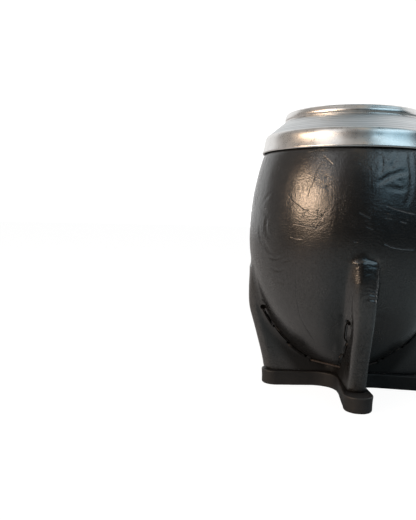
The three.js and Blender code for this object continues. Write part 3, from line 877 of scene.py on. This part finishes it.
def leather_cover(finish, inside):
    """The moulded cover, with finer rings where the fins' tops are wrinkled."""
    fine_low, fine_high, fine_step = 42.5, 59.0, 0.34
    levels = cover_levels(0.0, 0.9, 0.85)
    fine = np.arange(fine_low, fine_high, fine_step)
    levels = np.concatenate([levels[levels < fine_low], fine, levels[levels > fine_high + 0.3]])
    outer = cover_rings(levels, 0.0)
    inner = cover_rings(cover_levels(LEATHER, 9.0, 8.0), LEATHER)
    across = np.roll(outer, -1, axis=1) - np.roll(outer, 1, axis=1)
    normals = unit(np.cross(across, np.gradient(outer, axis=0)))
    height, wear_and_edge_sheen = leather_relief(outer, normals)
    outer = outer + height[..., None] * normals
    rings = np.concatenate([outer, inner[::-1]])
    rows, columns = rings.shape[:2]
    piece = new_piece("leather_cover_skin", rings.reshape(-1, 3), skin_faces(rows, columns, True), finish)
    nearest, depth = scratch_field(outer, normals)
    for name, values in (("wear_and_edge_sheen", wear_and_edge_sheen), ("scratch", nearest), ("scratch_depth", depth)):
        paint_points(piece, name, values, inner.shape[0] * columns)
    slits = slit_outlines()
    cutters = [blind_cutter("seam_slits", slits, slits)]
    cutters.append(blind_cutter("seam_holes", hole_outlines(False), hole_outlines(True)))
    for cutter in cutters:
        cut = piece.modifiers.new(cutter.name, "BOOLEAN")
        cut.operation = "DIFFERENCE"
        cut.solver = "MANIFOLD"
        cut.object = cutter
        piece = settle(piece)
        bpy.data.objects.remove(cutter)
    # The faces deep in the holes and slits get painted shade.
    paint_hole_shade(piece, finish, inside)
    piece.data.set_sharp_from_angle(angle=48 * DEGREE)
    return piece


def quadratic(a, b, c, count):
    """Points on a curve from a to c that leans towards b."""
    t = np.linspace(0, 1, count)[:, None]
    return (1 - t) ** 2 * np.array(a) + 2 * t * (1 - t) * np.array(b) + t**2 * np.array(c)


def sole_outline():
    """The cross with four round-ended arms, at even steps."""
    step = 0.4
    lobe = SOLE_LOBE_WIDTH / 2
    waist = SOLE_WAIST_WIDTH / 2

    def place(leg, out, side):
        return np.array(from_azimuth(leg.azimuth + leg.sole_turn, out, side))

    points = []
    for leg, after in zip(LEGS, LEGS[1:] + LEGS[:1]):
        points.append(place(leg, SOLE_WAIST_OUT, -waist))
        for turn in np.linspace(-math.pi / 2, math.pi / 2, 40):
            points.append(place(leg, leg.sole_reach - lobe + lobe * math.cos(turn), lobe * math.sin(turn)))
        start = place(leg, SOLE_WAIST_OUT, waist)
        corner = place(leg, waist, waist)
        end = place(after, SOLE_WAIST_OUT, -waist)
        points += list(quadratic(start, corner, end, 25)[:-1])
    loop = np.array(points + [points[0]])
    length = lengths_along(loop)
    even = np.linspace(0, length[-1], int(length[-1] / step), endpoint=False)
    return np.stack([np.interp(even, length, loop[:, axis]) for axis in (0, 1)], axis=1)


# Section of the sole's edge: offset from its outline, height and share of the frayed edge
SOLE_EDGE = [
    (-3.0, 0.0, 0), (-1.2, 0.0, 0), (-0.55, 0.05, 0.3), (-0.3, 0.25, 0.8), (-0.2, 0.6, 1), (-0.22, 1.2, 0.6),
    (-0.24, 2.2, 0.3), (-0.2, 3.4, 0.2), (-0.12, 4.6, 0.15), (-0.03, 5.5, 0.1), (-0.02, 5.85, 0.1),
    (-0.12, 6.1, 0.1), (-0.35, 6.24, 0.1), (-0.7, 6.29, 0),
    (-1.4, SOLE_THICKNESS, 0), (-3.0, SOLE_THICKNESS, 0),
]


def cross_sole(finish):
    fray_depth, fray_lift, wave_depth, fray_top = 0.22, 0.16, 0.1, 0.7
    loop = sole_outline()
    along = np.roll(loop, -1, axis=0) - np.roll(loop, 1, axis=0)
    outward = unit(np.stack([along[:, 1], -along[:, 0]], axis=1))
    level = np.column_stack([loop, np.zeros(len(loop))])
    fray = 0.5 + 0.5 * lumps(level, 2.2, 41)
    wave = 0.5 + 0.5 * lumps(level, 9, 42)
    vertices = []
    for offset, z, rag in SOLE_EDGE:
        shift = offset - fray_depth * rag * fray - wave_depth * wave * (rag > 0)
        lift = fray_lift * rag * fray * (z < fray_top)
        vertices.append(np.column_stack([loop + outward * shift[:, None], z + lift]))
    count, rows = len(loop), len(SOLE_EDGE)
    faces = skin_faces(rows, count)
    faces.append([step for step in reversed(range(count))])
    faces.append([(rows - 1) * count + step for step in range(count)])
    piece = new_piece("cross_sole", np.concatenate(vertices), faces, finish)
    for face in piece.data.polygons:
        if face.loop_total > 4:
            face.use_smooth = False
    return piece


skirt_edge = body_radius_at(COLLAR_EDGE) + SKIRT_GAP + SHEET
skirt_head = skirt_edge - SKIRT_TAPER
neck_foot = skirt_head - SHOULDER_DEPTH


def collar_profile():
    """Section of the spun sheet, out from the axis and up, as one closed line."""
    face_top = LIP_TOP - LIP_CROWN
    crown = (LIP_WIDTH - LIP_LEAN) / 2
    bulge = (skirt_head + SKIRT_TAPER / 4, COLLAR_EDGE + SKIRT_HEIGHT / 2)
    shoulder = (skirt_head - SHOULDER_DEPTH / 4, SHOULDER_TOP)
    groove = (NECK_RADIUS - 2 * LIP_TUCK, NECK_TOP + LIP_TUCK)
    curl = (NECK_RADIUS - 0.06, NECK_TOP + LIP_CURL)
    face = (NECK_RADIUS + 0.12, (curl[1] + face_top) / 2)
    share = np.linspace(0, 1, 18)[1:, None]
    turn = np.linspace(0, math.pi, 24)[1:]
    depth = np.linspace(face_top, LIP_TOP - SLEEVE_DEPTH, 12)[1:]
    outside = np.concatenate([
        quadratic((skirt_edge, COLLAR_EDGE), bulge, (skirt_head, SKIRT_TOP), 14),
        quadratic((skirt_head, SKIRT_TOP), shoulder, (neck_foot, SHOULDER_TOP), 14)[1:],
        np.array([neck_foot, SHOULDER_TOP]) * (1 - share) + np.array([NECK_RADIUS, NECK_TOP]) * share,
        quadratic((NECK_RADIUS, NECK_TOP), groove, curl, 9)[1:],
        quadratic(curl, face, (NECK_RADIUS - LIP_LEAN, face_top), 12)[1:],
        np.stack([MOUTH_RADIUS + crown + crown * np.cos(turn), face_top + LIP_CROWN * np.sin(turn)], axis=1),
        np.stack([np.full(len(depth), MOUTH_RADIUS), depth], axis=1),
    ])
    along = np.gradient(outside, axis=0)
    left = unit(np.stack([-along[:, 1], along[:, 0]], axis=1))
    inside = outside + SHEET * left
    hem = (outside[0] + inside[0]) / 2 - 0.3 * SHEET * unit(along[0])
    end = (outside[-1] + inside[-1]) / 2
    return np.concatenate([[hem], outside, [end], inside[::-1], [hem]])


def geometry_tree(name, inputs):
    """A node group with those inputs, its input node, and what a modifier calls the inputs."""
    group = bpy.data.node_groups.new(name, "GeometryNodeTree")
    names = {}
    for label, kind in inputs.items():
        socket = group.interface.new_socket(label, in_out="INPUT", socket_type=f"NodeSocket{kind}")
        names[label] = socket.identifier
    group.interface.new_socket("Result", in_out="OUTPUT", socket_type="NodeSocketGeometry")
    tree = Tree(group)
    return tree, tree.node("NodeGroupInput"), names


def hand_out(tree, given, mesh):
    """Ends a node group: the mesh is smoothed and dressed."""
    smooth = tree.node("GeometryNodeSetShadeSmooth", {}, {"Geometry": mesh})
    whole = tree.node("GeometryNodeRealizeInstances", {}, {"Geometry": smooth})
    dressed = tree.node("GeometryNodeSetMaterial", {}, {"Geometry": whole, "Material": given.also("Finish")})
    tree.node("NodeGroupOutput", {}, {"Result": dressed})


def spinning_tree():
    """Turns a profile curve, drawn out from the axis and up, into a spun sheet."""
    inputs = {"Profile": "Geometry", "Steps": "Int", "Rings": "Int", "Finish": "Material"}
    tree, given, names = geometry_tree("spun_sheet", inputs)
    counts = {"Vertices X": given.also("Rings"), "Vertices Y": given.also("Steps")}
    sheet = tree.node("GeometryNodeMeshGrid", {}, {"Size X": 1.0, "Size Y": 1.0, **counts})
    across = tree.parts(tree.node("GeometryNodeInputPosition"))
    turn = (across.also("Y") + 0.5) * (2 * math.pi)
    whole_curve = {"mode": "FACTOR", "use_all_curves": True}
    along = {"Curves": given, "Factor": across.also("X") + 0.5}
    section = tree.parts(tree.node("GeometryNodeSampleCurve", whole_curve, along, "Position"))
    place = {"X": section * turn.of("COSINE"), "Y": section * turn.of("SINE"), "Z": section.also("Z")}
    spun = tree.node("ShaderNodeCombineXYZ", {}, place)
    moved = tree.node("GeometryNodeSetPosition", {}, {"Geometry": sheet, "Position": spun})
    hand_out(tree, given, tree.node("GeometryNodeMergeByDistance", {}, {"Geometry": moved, "Distance": 1e-6}))
    return tree.nodes, names


def thread_tree():
    """Lays a twisted thread of three plies along a curve."""
    plies = 3
    inputs = {"Route": "Geometry", "Diameter": "Float", "Twist Length": "Float", "Finish": "Material"}
    tree, given, names = geometry_tree("twisted_thread", inputs)
    diameter = given.also("Diameter")
    steps = {"Curve": given, "Length": diameter * 0.22}
    route = tree.node("GeometryNodeResampleCurve", {"mode": "LENGTH"}, steps)
    along = tree.node("GeometryNodeSplineParameter", output="Length")
    tilt = along / given.also("Twist Length") * (2 * math.pi)
    twisted = tree.node("GeometryNodeSetCurveTilt", {}, {"Curve": route, "Tilt": tilt})
    round_one = {"Resolution": 18, "Radius": 1.0}
    circle = tree.node("GeometryNodeCurvePrimitiveCircle", {"mode": "RADIUS"}, round_one)
    rim = tree.node("GeometryNodeInputPosition")
    parts = tree.parts(rim)
    angle = parts.also("Y").of("ARCTAN2", parts)
    swell = (angle * plies).of("COSINE") * 0.14 + 0.86
    lobes = tree.vector("SCALE", rim, Scale=swell * diameter * 0.5)
    lobed = tree.node("GeometryNodeSetPosition", {}, {"Geometry": circle, "Position": lobes})
    tube = {"Curve": twisted, "Profile Curve": lobed, "Fill Caps": True}
    hand_out(tree, given, tree.node("GeometryNodeCurveToMesh", {}, tube))
    return tree.nodes, names


def curve_piece(name, points, smooth=False):
    curve = bpy.data.curves.new(name, "CURVE")
    curve.dimensions = "3D"
    line = curve.splines.new("BEZIER" if smooth else "POLY")
    knots = line.bezier_points if smooth else line.points
    knots.add(len(points) - 1)
    for knot, point in zip(knots, points):
        place = Vector(point) * MM
        if smooth:
            knot.co = place
            knot.handle_left_type = knot.handle_right_type = "AUTO"
        else:
            knot.co = (*place, 1)
    return add_object(name, curve)


def grow(piece, group, names, values):
    modifier = piece.modifiers.new(group.name, "NODES")
    modifier.node_group = group
    for name, value in values.items():
        modifier[names[name]] = value
    return settle(piece)


def spun_collar(finish):
    """The collar, a little uneven, drawn in so that its bumps stay in the solid's space, with two dents."""
    draw_in = 0.08
    dents = [((2.5, -36.6, 103.2), 1.3, 0.10), ((-15.0, -31.4, 106.0), 1.0, 0.12)]
    group, names = spinning_tree()
    profile = curve_piece("spun_collar", [(out, 0, up) for out, up in collar_profile()])
    piece = grow(profile, group, names, {"Steps": 193, "Rings": 261, "Finish": finish})
    points = read_places(piece.data.vertices, "co")
    radius = np.hypot(points[:, 0], points[:, 1])[:, None]
    push = 0.05 * lumps(points, (14, 14, 9), 51) + 0.03 * lumps(points, (5, 5, 4), 52)
    for place, width, depth in dents:
        push -= depth * bell(np.linalg.norm(points - np.array(place), axis=1), width)
    points[:, :2] -= points[:, :2] / radius * (draw_in - push[:, None])
    piece.data.vertices.foreach_set("co", (points * MM).astype(np.float32).ravel())
    turn_faces_out(piece.data)
    piece.data.set_sharp_from_angle(angle=60 * DEGREE)
    return piece


def gourd_bowl(finish):
    """The dried gourd: smooth outside, fibrous and uneven inside."""
    steps = 160
    rim = NECK_TOP - RIM_DROP
    deep = GOURD_INSET + GOURD_WALL
    lean = (neck_foot - NECK_RADIUS) / NECK_HEIGHT
    bore = MOUTH_RADIUS + SHEET + GOURD_GAP
    heights = np.linspace(BELLY_HEIGHT, rim, 26)[1:]
    under_neck = NECK_RADIUS + lean * (NECK_TOP - heights) - SHEET * math.hypot(1, lean) - GOURD_GAP
    turn = np.linspace(2, 90, 40) * DEGREE

    def side(inset, upper):
        out = (BELLY_RADIUS - inset) * np.sin(turn)
        up = BELLY_HEIGHT - (BODY_LOWER - inset) * np.cos(turn)
        return np.stack([np.concatenate([out, upper]), np.concatenate([up, heights])], axis=1)

    outside = side(GOURD_INSET, np.minimum(body_radius(heights, GOURD_INSET), under_neck))
    inside = side(deep, np.maximum(body_radius(heights, deep), bore))
    section = np.concatenate([outside, inside[::-1]])
    around = np.linspace(0, 2 * math.pi, steps, endpoint=False)
    out, up = section[:, :1], np.repeat(section[:, 1:], steps, axis=1)
    points = np.stack([out * np.cos(around), out * np.sin(around), up], axis=2)
    hollow = points[len(outside):]
    rough = 0.5 * lumps(hollow, (9, 9, 14), 61) + 0.22 * lumps(hollow, (2.4, 2.4, 6), 62)
    rough *= limit((rim - 12 - hollow[..., 2]) / 8)
    hollow[..., :2] *= (1 + rough / np.maximum(np.hypot(hollow[..., 0], hollow[..., 1]), 8))[..., None]
    faces = skin_faces(len(section), steps)
    vertices = points.reshape(-1, 3).tolist()
    low, high = len(vertices), len(vertices) + 1
    for inset in (GOURD_INSET, deep):
        vertices.append([0, 0, BELLY_HEIGHT - (BODY_LOWER - inset)])
    last = (len(section) - 1) * steps
    for step in range(steps):
        after = (step + 1) % steps
        faces.append((after, step, low))
        faces.append((last + step, last + after, high))
    piece = new_piece("gourd_bowl", vertices, faces, finish)
    piece.data.set_sharp_from_angle(angle=50 * DEGREE)
    return piece


def fin_stiffener(name, finish):
    """A cut leather stiffener with its edges broken, in the place of the solid."""
    shape = bmesh.new()
    shape.from_mesh(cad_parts[f"fin_filler_{name}"].data)
    bmesh.ops.remove_doubles(shape, verts=shape.verts, dist=1e-6)
    bmesh.ops.dissolve_limit(shape, angle_limit=2 * DEGREE, verts=shape.verts, edges=shape.edges)
    mesh = bpy.data.meshes.new(f"stiffener_{name}")
    shape.to_mesh(mesh)
    shape.free()
    mesh.materials.clear()
    mesh.materials.append(finish)
    piece = add_object(f"stiffener_{name}", mesh)
    soften = piece.modifiers.new("broken_edges", "BEVEL")
    soften.width = 0.25 * MM
    soften.segments = 2
    soften.limit_method = "ANGLE"
    return settle(piece)


# Finishes

def cover_look(tree):
    """Waxed leather: a glossy grained skin with cuts in its wax and dull pores. Under the body a duller,
    darker skin is painted shade, and the fins' edges turn paler grey with wear and a painted sheen.
    """
    place = tree.millimetres()
    cells = {"Vector": place, "Scale": 1.4, "Smoothness": 0.4}
    pebble = tree.node("ShaderNodeTexVoronoi", {"feature": "SMOOTH_F1"}, cells)
    fine = tree.noise(place, 0.42, 2, 0.65)
    grain = tree.noise(tree.millimetres((1, 1, 0.2)), 0.55, 2, 0.5, 0.2)
    broad = tree.noise(place, 2.4, 2, 0.5, 0.3)
    cuts = (1 - tree.ease(tree.painted("scratch").of("ABSOLUTE"), 0.2, 1.0)) * tree.painted("scratch_depth")
    normal = tree.relief(pebble * 0.034 + fine * 0.026 + grain * 0.040 + broad * 0.028 - cuts * 0.13)
    patch = tree.noise(place, 9.0, 3, 0.6)
    wear_and_edge_sheen = tree.painted("wear_and_edge_sheen")
    colour = tree.tint(tree.ease(patch, 0.3, 0.75), (0.0028, 0.0029, 0.0031), (0.0056, 0.0054, 0.0053))
    # Paler grey where the leather shows wear, and as a painted sheen along the fins' right edges.
    colour = tree.tint(wear_and_edge_sheen * tree.ease(fine, 0.2, 0.6) * 0.6, colour, (0.040, 0.041, 0.042))
    height = tree.parts(place).also("Z")
    foot = 1 - tree.ease(height, 8.0, 18.0)
    # Painted shade: under the body, towards the foot and the axis, the skin turns to the duller, darker one.
    inward = 1 - tree.ease(tree.radius(place) - height * 0.75, 13.0, 20.0)
    under = (1 - tree.ease(height, 12.0, 38.0)) * inward
    rough = 0.25 + (patch - 0.5) * 0.10 + (fine - 0.5) * 0.08 - wear_and_edge_sheen * 0.06 + foot * 0.2
    skin = tree.surface(Base_Color=colour, Roughness=rough, IOR=1.75, Normal=normal)
    dull = tree.surface(Base_Color=(0.003, 0.003, 0.003), Roughness=0.7, IOR=1.25, Normal=normal)
    # The dull skin fills the pores and, as painted shade, the underside.
    pores = ((1 - tree.ease(fine, 0.3, 0.58)) * 0.50).most(under * 0.8)
    return tree.node("ShaderNodeMixShader", {}, {0: pores, 1: skin, 2: dull})


# Painted shade: almost black, for the depth of the holes and slits.
def hole_shade_look(tree):
    fibre = tree.noise(tree.millimetres(), 0.3, 3, 0.6)
    colour = tree.tint(fibre, (0.0006, 0.0006, 0.0006), (0.0022, 0.0019, 0.0017))
    return tree.surface(Base_Color=colour, Roughness=0.95, IOR=1.15, Normal=tree.relief(fibre * 0.1))


def sole_look(tree):
    """Matte leather with a painted highlight along its upper rim, paler towards its lobes' ends, brown where
    the foot is frayed.
    """
    place = tree.millimetres()
    fibre = tree.noise(tree.millimetres((1, 1, 3.5)), 0.9, 4, 0.65, 0.5)
    fine = tree.noise(place, 0.3, 3, 0.6)
    patch = tree.noise(place, 5.0, 3, 0.6)
    height = tree.parts(place).also("Z")
    rim = tree.ease(height, 5.5, 6.1) * (1 - tree.ease(height, 6.2, 6.28))
    foot = 1 - tree.ease(height, 0.2, 1.1)
    colour = tree.tint(tree.ease(patch, 0.3, 0.72), (0.0048, 0.0049, 0.0052), (0.0100, 0.0100, 0.0104))
    colour = tree.tint(tree.ease(tree.radius(place), 30.0, 38.0) * 0.3, colour, (0.038, 0.038, 0.039))
    # Painted highlight: a paler line along the upper rim.
    colour = tree.tint(rim * 0.45, colour, (0.030, 0.029, 0.029))
    colour = tree.tint(foot * tree.ease(fibre, 0.45, 0.7) * 0.5, colour, (0.045, 0.034, 0.026))
    rough = 0.62 + (patch - 0.5) * 0.2 + (fine - 0.5) * 0.15 - rim * 0.15
    normal = tree.relief(fibre * 0.06 + fine * 0.03)
    return tree.surface(Base_Color=colour, Roughness=rough, IOR=1.38, Normal=normal)


def collar_look(tree):
    """Spun metal with fine lathe lines, and with rings on its neck."""
    place = tree.millimetres()
    parts = tree.parts(place)
    radius = tree.radius(place)
    height = parts.also("Z")
    angle = parts.also("Y").of("ARCTAN2", parts)
    section = tree.node("ShaderNodeCombineXYZ", {}, {"X": radius, "Y": angle * 0.6, "Z": height})
    lathe = tree.noise(section, 0.45, 2, 0.6)
    lathe_wide = tree.noise(section, 0.9, 1, 0.5)
    cloud = tree.noise(place, 4.5, 4, 0.62)
    speck = tree.noise(place, 0.5, 3, 0.7)
    neck = tree.ease(height, 106.1, 106.7) * (1 - tree.ease(height, 112.2, 112.7))
    neck = neck * tree.ease(radius, 26.8, 27.6)
    rings = (height * 7.85).of("SINE") * 0.5 + 0.5
    lines = tree.ease(lathe, 0.3, 0.7) * 0.45 + rings * 0.55
    ringed = tree.tint(lines, (0.28, 0.305, 0.32), (0.62, 0.645, 0.66))
    colour = tree.tint(tree.ease(cloud, 0.25, 0.8), (0.53, 0.522, 0.51), (0.66, 0.65, 0.635))
    colour = tree.tint(neck * 0.8, colour, ringed)
    rough = 0.30 + neck * 0.12 + (cloud - 0.5) * 0.16 + (speck - 0.5) * 0.20
    relief = lathe * (0.004 + 0.012 * neck) + lathe_wide * (0.004 + 0.03 * neck)
    relief = relief + speck * 0.004 + cloud * 0.006
    return tree.surface(Base_Color=colour, Metallic=1.0, Roughness=rough, Normal=tree.relief(relief))


def gourd_look(tree):
    place = tree.millimetres()
    fibre = tree.noise(tree.millimetres((1, 1, 0.22)), 0.8, 4, 0.65, 0.8)
    patch = tree.noise(place, 7.0, 4, 0.6, 0.4)
    pores = tree.noise(place, 0.35, 2, 0.6)
    colour = tree.tint(tree.ease(patch, 0.3, 0.75), (0.155, 0.090, 0.040), (0.36, 0.235, 0.115))
    colour = tree.tint(tree.ease(fibre, 0.52, 0.78) * 0.6, colour, (0.095, 0.052, 0.022))
    rough = 0.78 + (fibre - 0.5) * 0.2
    return tree.surface(Base_Color=colour, Roughness=rough, Normal=tree.relief(fibre * 0.22 + pores * 0.06))


def thread_look(tree):
    """Blackened thread, paler just below its second and third holes: wear on the thread with a painted glint.
    """
    place = tree.millimetres()
    height = tree.parts(place).also("Z")
    fuzz = tree.noise(place, 0.12, 3, 0.7)
    patch = tree.noise(place, 3.0, 3, 0.6)
    levels = [(height - float(seam_point(hole * STITCH + 1.6)[2])).of("ABSOLUTE") for hole in (1, 2)]
    # Painted glint: pale bits just below two holes, on top of wear.
    wear_and_sheen = 1 - tree.ease(levels[0].of("MINIMUM", levels[1]), 0.3, 1.0)
    colour = tree.tint(tree.ease(patch, 0.35, 0.7), (0.0018, 0.0016, 0.0015), (0.005, 0.004, 0.0036))
    colour = tree.tint(tree.ease(fuzz, 0.55, 0.75) * 0.25, colour, (0.018, 0.014, 0.012))
    colour = tree.tint(wear_and_sheen * tree.ease(fuzz, 0.4, 0.6) * 0.6, colour, (0.11, 0.088, 0.072))
    rough = 0.65 + (fuzz - 0.5) * 0.3
    return tree.surface(Base_Color=colour, Roughness=rough, IOR=1.3, Normal=tree.relief(fuzz * 0.05))


def draw_look(tree):
    place = tree.millimetres()
    fuzz = tree.noise(place, 0.16, 3, 0.7)
    patch = tree.noise(place, 2.0, 3, 0.6)
    colour = tree.tint(tree.ease(patch, 0.35, 0.7), (0.010, 0.007, 0.006), (0.028, 0.019, 0.016))
    colour = tree.tint(tree.ease(fuzz, 0.5, 0.75) * 0.5, colour, (0.10, 0.068, 0.060))
    rough = 0.72 + (fuzz - 0.5) * 0.2
    return tree.surface(Base_Color=colour, Roughness=rough, Normal=tree.relief(fuzz * 0.07))


def stiffener_look(tree):
    place = tree.millimetres()
    fibre = tree.noise(place, 0.6, 4, 0.65)
    patch = tree.noise(place, 4.0, 3, 0.6)
    colour = tree.tint(tree.ease(patch, 0.3, 0.7), (0.085, 0.055, 0.034), (0.15, 0.10, 0.062))
    rough = 0.8 + (fibre - 0.5) * 0.2
    return tree.surface(Base_Color=colour, Roughness=rough, Normal=tree.relief(fibre * 0.1))


# The pieces

def seat(piece, slot, *nodes):
    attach(piece, "root")
    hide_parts(*nodes)


leather = new_finish("waxed_black_leather", cover_look)
# The second leather finish is painted shade for the holes' depth.
hole_shade_finish = new_finish("painted_hole_shade", hole_shade_look)
seat(leather_cover(leather, hole_shade_finish), "cover_leather", "leather_cover")
seat(cross_sole(new_finish("matte_sole_leather", sole_look)), "sole_leather", "sole")
seat(spun_collar(new_finish("spun_aluminium", collar_look)), "collar_metal", "collar")
seat(gourd_bowl(new_finish("dried_gourd", gourd_look)), "gourd", "gourd_shell")

thread_group, thread_names = thread_tree()
black_thread = new_finish("waxed_thread", thread_look)
brown_thread = new_finish("brown_draw_thread", draw_look)
raw_leather = new_finish("raw_stiffener_leather", stiffener_look)
seam_kind = {"Diameter": THREAD * MM, "Twist Length": THREAD_TWIST * MM, "Finish": black_thread}
draw_kind = {"Diameter": DRAW_THREAD * MM, "Twist Length": DRAW_TWIST * MM, "Finish": brown_thread}
for leg in LEGS:
    sewn = curve_piece(f"seam_stitches_{leg.name}", seam_route(leg), True)
    seat(grow(sewn, thread_group, thread_names, seam_kind), "thread", f"seam_thread_{leg.name}")
    seat(fin_stiffener(leg.name, raw_leather), "filler_leather", f"fin_filler_{leg.name}")
drawn = curve_piece("draw_strand", draw_route())
seat(grow(drawn, thread_group, thread_names, draw_kind), "thread", "draw_thread")


# Studio: a white floor and surroundings, a dim wall behind the camera and soft lamps

FLOOR_RADIUS = 3000
WALL_RADIUS = 2200
LAMP_DISTANCE = 0.9
LAMP_TARGET = Vector((0, 0, 0.075))
SURROUNDINGS = 1.25
AMBIENT = 0.32

# Azimuth and rise of each lamp, its width and height in metres, its watts and its colour
LAMPS = {
    "warm_lamp": (-60, 14, 0.40, 0.15, 4.3, (1.0, 0.72, 0.50)),
    "warm_side_lamp": (-42, 14, 0.24, 0.15, 1.15, (1.0, 0.74, 0.54)),
    "pale_lamp": (-41, 30, 0.44, 0.34, 0.68, (0.90, 0.95, 1.0)),
    "cool_lamp": (42, 22.5, 0.68, 0.20, 0.53, (0.48, 0.80, 1.0)),
    "cool_upper_lamp": (46, 34.5, 0.80, 0.19, 0.92, (0.68, 0.88, 1.0)),
}


def white_share(tree):
    """1 for what the camera sees, also in metal and glass."""
    path = tree.node("ShaderNodeLightPath", output="Is Camera Ray")
    return path.most(path.also("Is Glossy Ray")).most(path.also("Is Transmission Ray"))


def floor_look(tree):
    """White to the camera. In reflections it dims to the front and right, where the room is dark, and holds a
    painted shadow of the cup close to it at the front right.
    """
    place = tree.millimetres()
    parts = tree.parts(place)
    length = tree.vector("LENGTH", place, output="Value")
    far = tree.ease(length, 120.0, 600.0) * (1 - tree.ease(parts.also("Y"), -60.0, 160.0))
    right = tree.ease((parts - parts.also("Y")) / length, -0.2, 0.9)
    # Painted shadow: the floor in reflections darkens close to the cup at its front right.
    near = 1 - tree.ease(length, 45.0, 95.0)
    mirrored = 0.68 * (1 - 0.55 * right) * (1 - 0.85 * far) * (1 - 0.6 * near * right)
    seen = tree.node("ShaderNodeLightPath", output="Is Camera Ray")
    paint = tree.node("ShaderNodeBsdfDiffuse", {}, {"Color": (0.88, 0.88, 0.88)})
    sides = tree.tint(right, (1.0, 0.95, 0.92), (0.76, 0.94, 1.0))
    shine = {"Color": tree.tint(seen, sides, (1, 1, 1)), "Strength": seen * 1.17 + (1 - seen) * mirrored}
    glow = tree.node("ShaderNodeEmission", {}, shine)
    return tree.node("ShaderNodeMixShader", {}, {0: white_share(tree) * 0.8, 1: paint, 2: glow})


def wall_look(tree):
    """Dark to the front, paler above and at the left, with one narrow tan panel."""
    parts = tree.parts(tree.millimetres())
    height = parts.also("Z")
    left = tree.ease(parts.also("Y"), -700.0, -100.0) * (1 - tree.ease(parts, -1500.0, -500.0))
    level = (0.037 + 0.42 * tree.ease(height, 700.0, 1500.0)).most(0.40 * left)
    panel = tree.ease(parts, 40.0, 90.0) * (1 - tree.ease(parts, 220.0, 270.0))
    panel = panel * tree.ease(height, 1300.0, 1400.0) * (1 - tree.ease(height, 1850.0, 1950.0))
    sides = tree.tint(tree.ease(parts, -500.0, 500.0), (1.0, 0.95, 0.91), (0.64, 0.88, 1.0))
    colour = tree.tint(panel, sides, (1.0, 0.62, 0.30))
    return tree.node("ShaderNodeEmission", {}, {"Color": colour, "Strength": level + panel * 0.8})


def floor_disc():
    steps, drop = 96, -0.1
    ring = [(*from_azimuth(360 * step / steps, FLOOR_RADIUS, 0), drop) for step in range(steps)]
    return new_piece("floor", ring, [list(range(steps))], new_finish("white_floor", floor_look))


def dim_wall():
    """Part of a dome behind the camera, seen only in glossy reflections."""
    vertices, columns, rows = [], 52, 24
    for azimuth in np.linspace(-214, 0, columns):
        for rise in np.linspace(0, 112, rows):
            out = WALL_RADIUS * math.cos(rise * DEGREE)
            vertices.append((*from_azimuth(azimuth, out, 0), WALL_RADIUS * math.sin(rise * DEGREE)))
    faces = []
    for column in range(columns - 1):
        for row in range(rows - 1):
            a = column * rows + row
            faces.append((a, a + 1, a + rows + 1, a + rows))
    wall = new_piece("dim_wall", vertices, faces, new_finish("dim_wall", wall_look))
    wall.visible_camera = False
    wall.visible_diffuse = False
    wall.visible_transmission = False
    wall.visible_shadow = False
    return wall


def soft_lamp(name, azimuth, rise, width, height, watts, colour):
    """A rectangular lamp that faces the cup. Azimuth 0 is the front, and positive is to the right."""
    lamp = bpy.data.lights.new(name, "AREA")
    lamp.shape = "RECTANGLE"
    lamp.size = width
    lamp.size_y = height
    lamp.energy = watts
    lamp.color = colour
    level = from_azimuth(azimuth - 90, math.cos(rise * DEGREE), 0)
    away = Vector((*level, math.sin(rise * DEGREE)))
    holder = add_object(name, lamp)
    holder.location = LAMP_TARGET + LAMP_DISTANCE * away
    holder.rotation_euler = away.to_track_quat("Z", "Y").to_euler()


floor = floor_disc()
wall = dim_wall()
for lamp_name, lamp_row in LAMPS.items():
    soft_lamp(lamp_name, *lamp_row)

world = bpy.data.worlds.new("white_surroundings")
scene.world = world
world.use_nodes = True
world.node_tree.nodes.clear()
sky = Tree(world.node_tree)
strength = white_share(sky) * (SURROUNDINGS - AMBIENT) + AMBIENT
light = sky.node("ShaderNodeBackground", {}, {"Color": (1, 1, 1), "Strength": strength})
sky.node("ShaderNodeOutputWorld", {}, {"Surface": light})

scene.view_settings.view_transform = "Standard"


# Camera at the photograph's viewing angle

def viewing_camera(place, yaw, pitch, roll, lens):
    forward = Vector((math.sin(yaw) * math.cos(pitch), math.cos(yaw) * math.cos(pitch), math.sin(pitch)))
    right = Vector((math.cos(yaw), -math.sin(yaw), 0))
    up = right.cross(forward)
    turned_right = math.cos(roll) * right + math.sin(roll) * up
    turned_up = math.cos(roll) * up - math.sin(roll) * right
    data = bpy.data.cameras.new("camera")
    data.lens = lens
    data.sensor_width = 36
    data.clip_start = 0.01
    camera = add_object("camera", data)
    axes = Matrix((turned_right, turned_up, -forward)).transposed().to_4x4()
    camera.matrix_world = Matrix.Translation(Vector(place) * MM) @ axes
    return camera


scene.camera = viewing_camera((-48.7, -256.7, 74.1), -0.044, -0.0819, 0.0247, 40.86)
